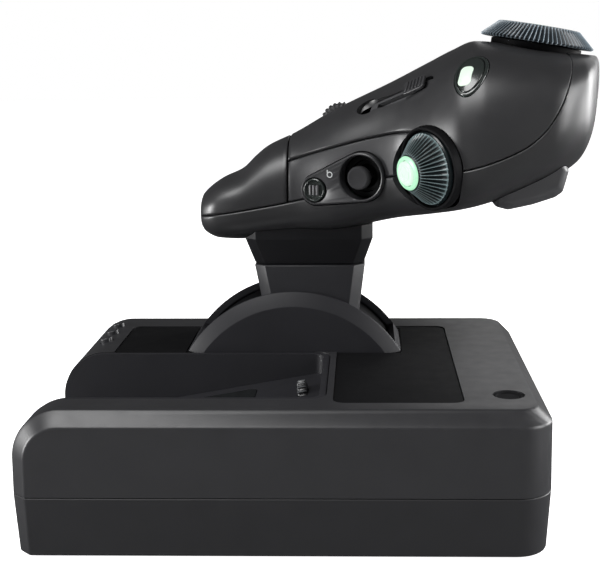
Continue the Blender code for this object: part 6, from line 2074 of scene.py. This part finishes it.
@dataclass(frozen=True)
class ThumbKnob:
    """Conical ribbed knob on the near side, with a lit ring and a lit push button in its tip."""

    form: GripForm
    at_x: float = 47.6
    at_z: float = 96.4
    yaw_deg: float = 56.0
    dip_deg: float = 7.0
    sink: float = 2.5
    radius: float = 13.0
    tip_radius: float = 5.8
    length: float = 10.6
    button_radius: float = 4.3
    ribs: int = 42
    rib_depth: float = 1.2
    well_radius: float = 13.6
    well_wall: float = 1.1
    well_low: float = -2.7
    rim_drop: float = 0.2
    rim_fall: float = 0.85
    shaft: float = 3.0
    shaft_low: float = -6.5
    cup: float = 3.6

    def place(self) -> Placement:
        """Placement of the knob's foot, Z out along its axis.

        Returns:
            The placement.
        """
        yaw, dip = math.radians(self.yaw_deg), math.radians(self.dip_deg)
        out = np.array((-math.sin(yaw) * math.cos(dip), -math.cos(yaw) * math.cos(dip), -math.sin(dip)))
        foot = self.form.near_point(self.at_x, self.at_z) - self.sink * out
        return Placement.facing(foot, out, UP)

    def opening(self) -> Shape:
        """Pocket for the knob's well, for cutting."""
        return rod(self.well_radius + self.well_wall + GAP, -2 * PAST, 3 * PAST, ROUND).at(self.place())

    def build_well(self) -> None:
        """Well round the knob's foot, whose rim falls off with the grip's skin on the side of -Y."""
        outside, inside, hole = self.well_radius + self.well_wall, self.well_radius, self.shaft + GAP
        low, rim = self.well_low, self.sink - self.rim_drop
        well = turned_ring(((hole, low), (outside, low), (outside, rim), (inside, rim), (inside, -GAP),
                            (hole, -GAP)), (0, 0.4, 0.6, 0.5, 0.3, 0))
        across, up = -well.points[:, 1] / outside, np.maximum(well.points[:, 2], 0.0)
        well.points[:, 2] -= self.rim_fall * np.clip(across, 0.0, 1.0) * up
        # the well takes the near-black deck plastic so that it reads as a shadow gap round the knob: painted
        # shade
        add("knob_pocket", well.at(self.place()), Datum.LEVER, "lever", Slot.DECK, DECK_PLASTIC, "knob_well")

    def build_knob(self) -> None:
        """Ribbed cone on its shaft, with the lit ring round its tip."""
        place, radius, tip, top = self.place(), self.radius, self.tip_radius, self.length
        slope = np.linspace(0.0, 1.0, 9)
        low, high = 2.0, top - 1.4
        side = np.column_stack((radius - 0.4 + (tip + 0.6 - radius + 0.4) * slope, low + (high - low) * slope,
                                np.clip(6.0 * slope, 0.1, 1.0) * np.clip(6.0 * (1.0 - slope), 0.1, 1.0)))
        shaft, end = self.shaft, self.shaft_low
        foot = ((0.0, end, 0.0), (shaft, end, 0.0), (shaft, 0.0, 0.0), (radius - 0.4, 0.0, 0.0),
                (radius, 0.35, 0.0), (radius, 1.2, 0.0), (radius - 0.25, 1.5, 0.0), (radius - 0.4, 1.7, 0.0))
        seat, bore, cup = top - 0.9, self.button_radius + GAP, top - self.cup
        head = ((tip + 0.5, high + 0.2, 0.0), (tip + 0.3, seat, 0.0), (bore, seat, 0.0), (bore, cup, 0.0),
                (0.0, cup, 0.0))
        knob = ribbed(np.vstack((foot, side, head)), self.ribs, self.rib_depth)
        add("ribbed_knob", knob.at(place), Datum.LEVER, "thumb_knob", Slot.KNOB, KNOB_RIBS, "thumb_knob")
        glow = turned_ring(((bore, seat), (tip + 0.25, seat), (tip, seat + 0.5), (bore + 0.3, top),
                            (bore, top)), (0, 0.1, 0.3, 0.2, 0))
        add("knob_glow", glow.at(place), Datum.LEVER, "thumb_knob", Slot.LIT, GREEN_GLOW)

    def build(self) -> None:
        """Well, knob with its lit ring, and lit button."""
        self.build_well()
        self.build_knob()
        face, top = self.button_radius, self.length
        profile = ((0.0, top - 2.5), (face, top - 2.5), (face, top + 0.1), (face - 0.5, top + 0.6),
                   (face - 1.5, top + 0.6), (face - 1.6, top + 0.4), (face - 1.9, top + 0.4),
                   (face - 2.0, top + 0.6), (0.0, top + 0.45))
        button = turned(profile, (0, 0, 0.2, 0.3, 0.05, 0.05, 0.05, 0.05, 0)).at(self.place())
        add("knob_lens", button, Datum.LEVER, "knob_button", Slot.LIT, WHITE_GLOW, "knob_button")


@dataclass(frozen=True)
class TopDial:
    """Wide ribbed dial on the crest, with a lit push button in its middle."""

    form: GripForm
    at_x: float = 90.0
    at_y: float = -10.5
    tilt_deg: float = 9.5
    lift: float = 2.0
    radius: float = 20.8
    top_radius: float = 15.0
    height: float = 6.2
    base_radius: float = 16.6
    flange: float = -1.2
    stem_radius: float = 8.3
    shaft: float = 3.0
    shaft_low: float = -8.2
    base_low: float = -4.4
    button_radius: float = 7.8
    cup: float = 3.0
    ribs: int = 76
    rib_depth: float = 1.2
    rib_lean_deg: float = 5.0

    def place(self) -> Placement:
        """Placement of the dial's foot on the crest.

        Returns:
            The placement.
        """
        tilt = math.radians(self.tilt_deg)
        crest = float(self.form.limits(np.array(self.at_x))[1])
        return Placement.facing((self.at_x, self.at_y, crest), (math.sin(tilt), 0.0, math.cos(tilt)))

    def opening(self) -> Shape:
        """Hole for the dial's stem, for cutting."""
        return rod(self.stem_radius + GAP, -2 * PAST, PAST, ROUND).at(self.place())

    def recess(self) -> Shape:
        """Shallow seat for the dial's base, for cutting."""
        return rod(self.base_radius + GAP / 2, self.flange - GAP / 2, PAST, ROUND).at(self.place())

    def build(self) -> None:
        """Base, dial and lit button."""
        place, lift, top = self.place(), self.lift, self.lift + self.height
        low, flange, hole, shaft = self.base_low, self.flange, self.shaft + GAP, self.shaft
        base = turned_ring(((hole, low), (self.stem_radius, low), (self.stem_radius, flange),
                            (self.base_radius, flange), (self.base_radius, lift - GAP), (hole, lift - GAP)),
                           (0, 0.2, 0, 0.3, 0.3, 0))
        add("dial_seat", base.at(place), Datum.LEVER, "lever", Slot.DECK, DECK_PLASTIC, "dial_base")
        slope = np.linspace(0.0, 1.0, 10)
        side = np.column_stack((self.radius + (self.top_radius + 0.35 - self.radius) * slope,
                                lift + 0.8 + (self.height - 1.3) * slope, 1.0 - 0.55 * slope**3))
        foot = ((0.0, self.shaft_low, 0.0), (shaft, self.shaft_low, 0.0), (shaft, lift, 0.0),
                (self.radius - 0.7, lift, 0.4), (self.radius - 0.1, lift + 0.35, 1.0))
        bore, cup = self.button_radius + GAP, top - self.cup
        head = ((self.top_radius, top - 0.15, 0.1), (self.top_radius - 0.5, top, 0.0), (bore + 0.3, top, 0.0),
                (bore, top - 0.3, 0.0), (bore, cup, 0.0), (0.0, cup, 0.0))
        dial = ribbed(np.vstack((foot, side, head)), self.ribs, self.rib_depth, self.rib_lean_deg)
        add("ribbed_dial", dial.at(place), Datum.LEVER, "top_dial", Slot.KNOB, DIAL_RIBS, "top_dial")
        face = self.button_radius
        button = turned(((0.0, top - 1.9), (face, top - 1.9), (face, top - 0.1), (face - 0.6, top + 0.3),
                         (0.0, top + 0.3)), (0, 0, 0.2, 0.4, 0))
        add("dial_lens", button.at(place), Datum.LEVER, "dial_button", Slot.LIT, WHITE_GLOW, "dial_button")


@dataclass(frozen=True)
class CoverControls:
    """Slide control, lit button and scroll wheel in the top cover."""

    form: GripForm
    slide_x: float = 40.0
    slide_turn_deg: float = 53.0
    slot_half: Pair = (15.0, 3.0)
    cap_half: Pair = (4.5, 3.3)
    cap_shift: float = 7.35
    cap_span: Pair = (1.2, 2.6)
    ridge_x: tuple[float, ...] = (-3.0, -1.5, 0.0, 1.5, 3.0)
    groove_half: Pair = (11.3, 1.3)
    track_span: Pair = (-8.0, -0.6)
    dimple_radius: float = 4.4
    dimple_ball: float = 7.0
    lamp_x: float = 63.0
    lamp_turn_deg: float = 45.0
    lamp_half: Pair = (9.2, 5.9)
    lamp_swell: float = 0.12
    lamp_lean_deg: float = 65.0
    lamp_rim: float = 1.3
    lamp_proud: float = 1.2
    lamp_reach: float = 12.0
    lens_half: Pair = (4.3, 2.4)
    lens_shift: Pair = (-1.5, -0.65)
    scroll_x: float = 15.5
    scroll_radius: float = 8.0
    scroll_width: float = 6.0
    scroll_proud: float = 2.3
    scroll_ribs: int = 26
    scroll_rib_depth: float = 0.6

    def slide_place(self) -> Placement:
        """Placement of the slide control's track."""
        return self.form.place(self.slide_x, self.slide_turn_deg)

    def lamp_place(self) -> Placement:
        """Placement of the lit button."""
        return self.form.place(self.lamp_x, self.lamp_turn_deg)

    def scroll_place(self) -> Placement:
        """Placement of the scroll wheel's middle."""
        return self.form.place(self.scroll_x, 90.0).shifted(z=self.scroll_proud - self.scroll_radius)

    def lamp_outline(self, offset: float) -> np.ndarray:
        """Leaning egg: an ellipse whose half width grows by a share towards its upper end.

        Args:
            offset: How far it is grown.

        Returns:
            Flat points in order.
        """
        turn = np.linspace(0.0, 2.0 * np.pi, 64, endpoint=False)
        half_x, half_y = (half + offset for half in self.lamp_half)
        swell = 1.0 + self.lamp_swell * np.cos(turn)
        egg = np.column_stack((half_x * np.cos(turn), half_y * swell * np.sin(turn)))
        return leaned(egg, self.lamp_lean_deg)

    def openings(self) -> list[Shape]:
        """Openings of the three controls and the round dimple at the track's low end, for cutting.

        Returns:
            Closed shapes in the lever's axes.
        """
        half_x, half_y = self.slot_half
        slot = prism(rounded_rectangle(half_x, half_y, half_y - GAP), -PAST, PAST).at(self.slide_place())
        lamp = prism(self.lamp_outline(GAP), -PAST, PAST).at(self.lamp_place())
        reach, wide = self.scroll_radius + GAP, self.scroll_width / 2 + GAP
        scroll = prism(rounded_rectangle(reach, wide, 1.2), -PAST, 3 * PAST).at(self.scroll_place())
        ball, radius = self.dimple_ball, self.dimple_radius
        rise, turn_deg = math.sqrt(ball**2 - radius**2), math.degrees(math.asin(radius / ball))
        bowl = np.vstack((arc((0.0, rise), ball, -90.0, turn_deg - 90.0, 10), ((radius, PAST),)))
        dimple = lathe(bowl).at(self.slide_place().shifted(-half_x + 0.6))
        return [slot, lamp, scroll, dimple]

    def build_slide(self) -> None:
        """Sunk track with a groove, and a cap with cross ridges and a tongue in the groove."""
        place, (groove_x, groove_y) = self.slide_place(), self.groove_half
        half_x, half_y = (half - GAP for half in self.slot_half)
        track = pillow(rounded_rectangle(half_x, half_y, half_y - GAP), *self.track_span, 0.2).at(place)
        groove = block((-groove_x, groove_x), (-groove_y, groove_y), (-4.9, PAST)).at(place)
        # the track's pale plastic is painted light on its sunk floor
        add("slide_track", track, Datum.LEVER, "lever", Slot.DECK, TRACK_HIGHLIGHT_PLASTIC, "slide_pot", cuts=[groove])
        low, high = self.cap_span
        rest = place.shifted(self.cap_shift)
        plate = pillow(rounded_rectangle(*self.cap_half, 1.2), low, high - 0.4, 0.4, 0.2)
        tongue = pillow(rounded_rectangle(1.0, 1.0, 0.2), -4.6, high - 0.8, 0.1)
        ridge = pillow(rounded_rectangle(0.4, self.cap_half[1] - 0.7, 0.3, 5), low, high, 0.25)
        ridges = (ridge.at(rest.shifted(x)) for x in self.ridge_x)
        cap = together(plate.at(rest), tongue.at(rest), *ridges)
        add("slide_cap", cap, Datum.LEVER, "slider_cap", Slot.GRIP, PANEL_PLASTIC, "slider_cap")

    def build_lamp(self) -> None:
        """Dark glossy bezel that lies along the skin, the button plate inside it and its lit lens."""
        place, proud, rim = self.lamp_place(), self.lamp_proud, self.lamp_rim
        drape = self.form.drape(place, self.lamp_reach)
        bezel = drape(pillow(self.lamp_outline(0.0), -6.0, proud - 0.7, 0.5)).at(place)
        pocket = drape(prism(self.lamp_outline(GAP - rim), -3.2, PAST)).at(place)
        add("lamp_ring", bezel, Datum.LEVER, "lever", Slot.DECK, GLOSS_PLASTIC, "lamp_bezel", cuts=[pocket])
        plate = drape(pillow(self.lamp_outline(-rim), -1.9, proud - 0.6, 0.3, crown=0.3)).at(place)
        add("lamp_plate", plate, Datum.LEVER, "lamp_button", Slot.LIT, GLOSS_PLASTIC, "lamp_button")
        lens = leaned(rounded_rectangle(*self.lens_half, 1.9), self.lamp_lean_deg) + np.array(self.lens_shift)
        lens = drape(pillow(lens, proud - 1.2, proud - 0.2, 0.3, crown=0.2)).at(place)
        add("lamp_lens", lens, Datum.LEVER, "lamp_button", Slot.LIT, LAMP_GLOW)

    def build_scroll(self) -> None:
        """Ribbed rubber wheel that stands out of the crest."""
        half, radius = self.scroll_width / 2, self.scroll_radius
        profile = both_sides(((0.0, -half, 0.0), (radius - 1.6, -half, 0.0), (radius - 0.5, -half + 0.3, 1.0),
                              (radius, -half + 0.9, 1.0)))
        middle = self.scroll_place()
        axle = Placement.facing(middle.origin, -middle.axes[1], middle.axes[0])
        wheel = ribbed(profile, self.scroll_ribs, self.scroll_rib_depth).at(axle)
        add("scroll_ribs", wheel, Datum.LEVER, "scroll_wheel", Slot.RUBBER, SCROLL_RUBBER, "scroll_wheel")

    def build(self) -> None:
        """Every control of the cover."""
        self.build_slide()
        self.build_lamp()
        self.build_scroll()


@dataclass(frozen=True)
class HiddenWorks:
    """Inner pieces that keep their CAD shape and only need a finish."""

    steel: tuple[str, ...] = ("pivot_axle", "axle_nut")
    # the stick's gimbal and module are near black, which also paints the shade inside the stick's well
    dark: tuple[str, ...] = ("stick_gimbal", "stick_module")
    cast: tuple[str, ...] = ("pivot_frame", "lever_arm", "lever_pot", "knob_pot", "dial_pot")
    gears: tuple[str, ...] = ("sector_gear", "pot_pinion", "bush_near", "bush_far")
    boards: tuple[str, ...] = ("controller_board", "grip_board", "display_module")
    rubber: tuple[str, ...] = ("friction_washer",)

    def build(self) -> None:
        """Finish of every inner piece."""
        for nodes, finish in ((self.steel, STEEL), (self.dark, DECK_PLASTIC), (self.cast, CAST_METAL),
                              (self.gears, GEAR_PLASTIC), (self.boards, BOARD), (self.rubber, BLACK_RUBBER)):
            for node in nodes:
                dress(node, finish)


@dataclass(frozen=True)
class Studio:
    """Pale floor, soft boxes and the camera of the photograph."""

    camera_at: tuple[float, float, float] = (13.03, -446.4, 164.8)
    yaw_deg: float = 1.54
    dip_deg: float = 8.55
    roll_deg: float = -0.42
    lens: float = 74.46
    sensor: float = 36.0
    shift: Pair = (-0.05, -0.1)
    floor_half: float = 3000.0
    floor_glow: float = 1.0
    fill: float = 0.16
    mirrored_fill: float = 0.06
    boxes: tuple[tuple[str, tuple[float, float, float], Pair, float], ...] = (
        ("left_strip", (-800.0, -190.0, 150.0), (140.0, 320.0), 8.0),
        ("right_strip", (830.0, -260.0, 330.0), (280.0, 660.0), 8.5),
        ("top_box", (-360.0, -340.0, 930.0), (560.0, 420.0), 9.0),
        ("rear_strip", (860.0, 400.0, 260.0), (560.0, 560.0), 11.0),
        ("back_box", (340.0, 800.0, 400.0), (520.0, 420.0), 0.6),
    )
    aim: tuple[float, float, float] = (0.0, 0.0, 80.0)

    def build_floor(self) -> None:
        """Plain pale floor."""
        half = self.floor_half
        corners = ((-half, -half, 0.0), (half, -half, 0.0), (half, half, 0.0), (-half, half, 0.0))
        floor = make_object("studio_floor", Shape(np.array(corners), np.array(((0, 1, 2, 3),))), Datum.BASE)
        paper = LitPlastic("studio_paper", (0.88, 0.88, 0.88), (1.0, 1.0, 1.0), self.floor_glow)
        floor.data.materials.append(paper.material())
        floor.visible_glossy = False

    def build_light(self) -> None:
        """White surround, dim to everything but the camera and dimmer in reflections, and soft boxes."""
        scene = bpy.context.scene
        scene.view_settings.view_transform = "Standard"
        world = bpy.data.worlds.new("studio_surround")
        world.use_nodes = True
        scene.world = world
        tree = world.node_tree
        path = tree.nodes.new("ShaderNodeLightPath").outputs
        dim, strength = tree.nodes.new("ShaderNodeMapRange"), tree.nodes.new("ShaderNodeMapRange")
        connect(tree, dim, Value=path["Is Glossy Ray"], To_Min=self.fill, To_Max=self.mirrored_fill)
        connect(tree, strength, Value=path["Is Camera Ray"], To_Min=dim.outputs["Result"], To_Max=1.0)
        connect(tree, tree.nodes["Background"], Color=(1.0, 1.0, 1.0, 1.0),
                Strength=strength.outputs["Result"])
        for name, place, (width, height), power in self.boxes:
            light = bpy.data.lights.new(name, "AREA")
            light.shape = "RECTANGLE"
            light.size, light.size_y, light.energy = width * MM, height * MM, power
            obj = bpy.data.objects.new(name, light)
            obj.location = Vector(place) * MM
            obj.rotation_euler = (Vector(self.aim) - Vector(place)).to_track_quat("-Z", "Y").to_euler()
            obj.visible_camera = False
            scene.collection.objects.link(obj)

    def build_camera(self) -> None:
        """Camera at the photograph's angle."""
        data = bpy.data.cameras.new("photo_camera")
        data.lens, data.sensor_width = self.lens, self.sensor
        data.shift_x, data.shift_y = self.shift
        camera = bpy.data.objects.new("photo_camera", data)
        camera.location = Vector(self.camera_at) * MM
        turns = ((self.yaw_deg, "Z"), (90.0 - self.dip_deg, "X"), (self.roll_deg, "Z"))
        yaw, dip, roll = (Matrix.Rotation(math.radians(turn), 4, axis) for turn, axis in turns)
        camera.rotation_euler = (yaw @ dip @ roll).to_euler()
        bpy.context.scene.collection.objects.link(camera)
        bpy.context.scene.camera = camera

    def build(self) -> None:
        """Whole studio."""
        self.build_floor()
        self.build_light()
        self.build_camera()


def main() -> None:
    """Build every sub-assembly in order and note its pieces."""
    logging.basicConfig(level=logging.INFO, format="%(name)s: %(message)s")
    form = GripForm()
    case = BaseCase()
    thumb, knob, dial = ThumbCluster(form), ThumbKnob(form), TopDial(form)
    controls, column = CoverControls(form), LeverColumn(form)
    case.build()
    SlotHood().build()
    DisplayWell(case).build()
    column.build()
    GripShells(form).build(thumb, knob, dial, controls, column)
    FingerRest(form).build()
    for cluster in (thumb, knob, dial, controls, HiddenWorks(), Studio()):
        cluster.build()


if __name__ == "__main__":
    main()
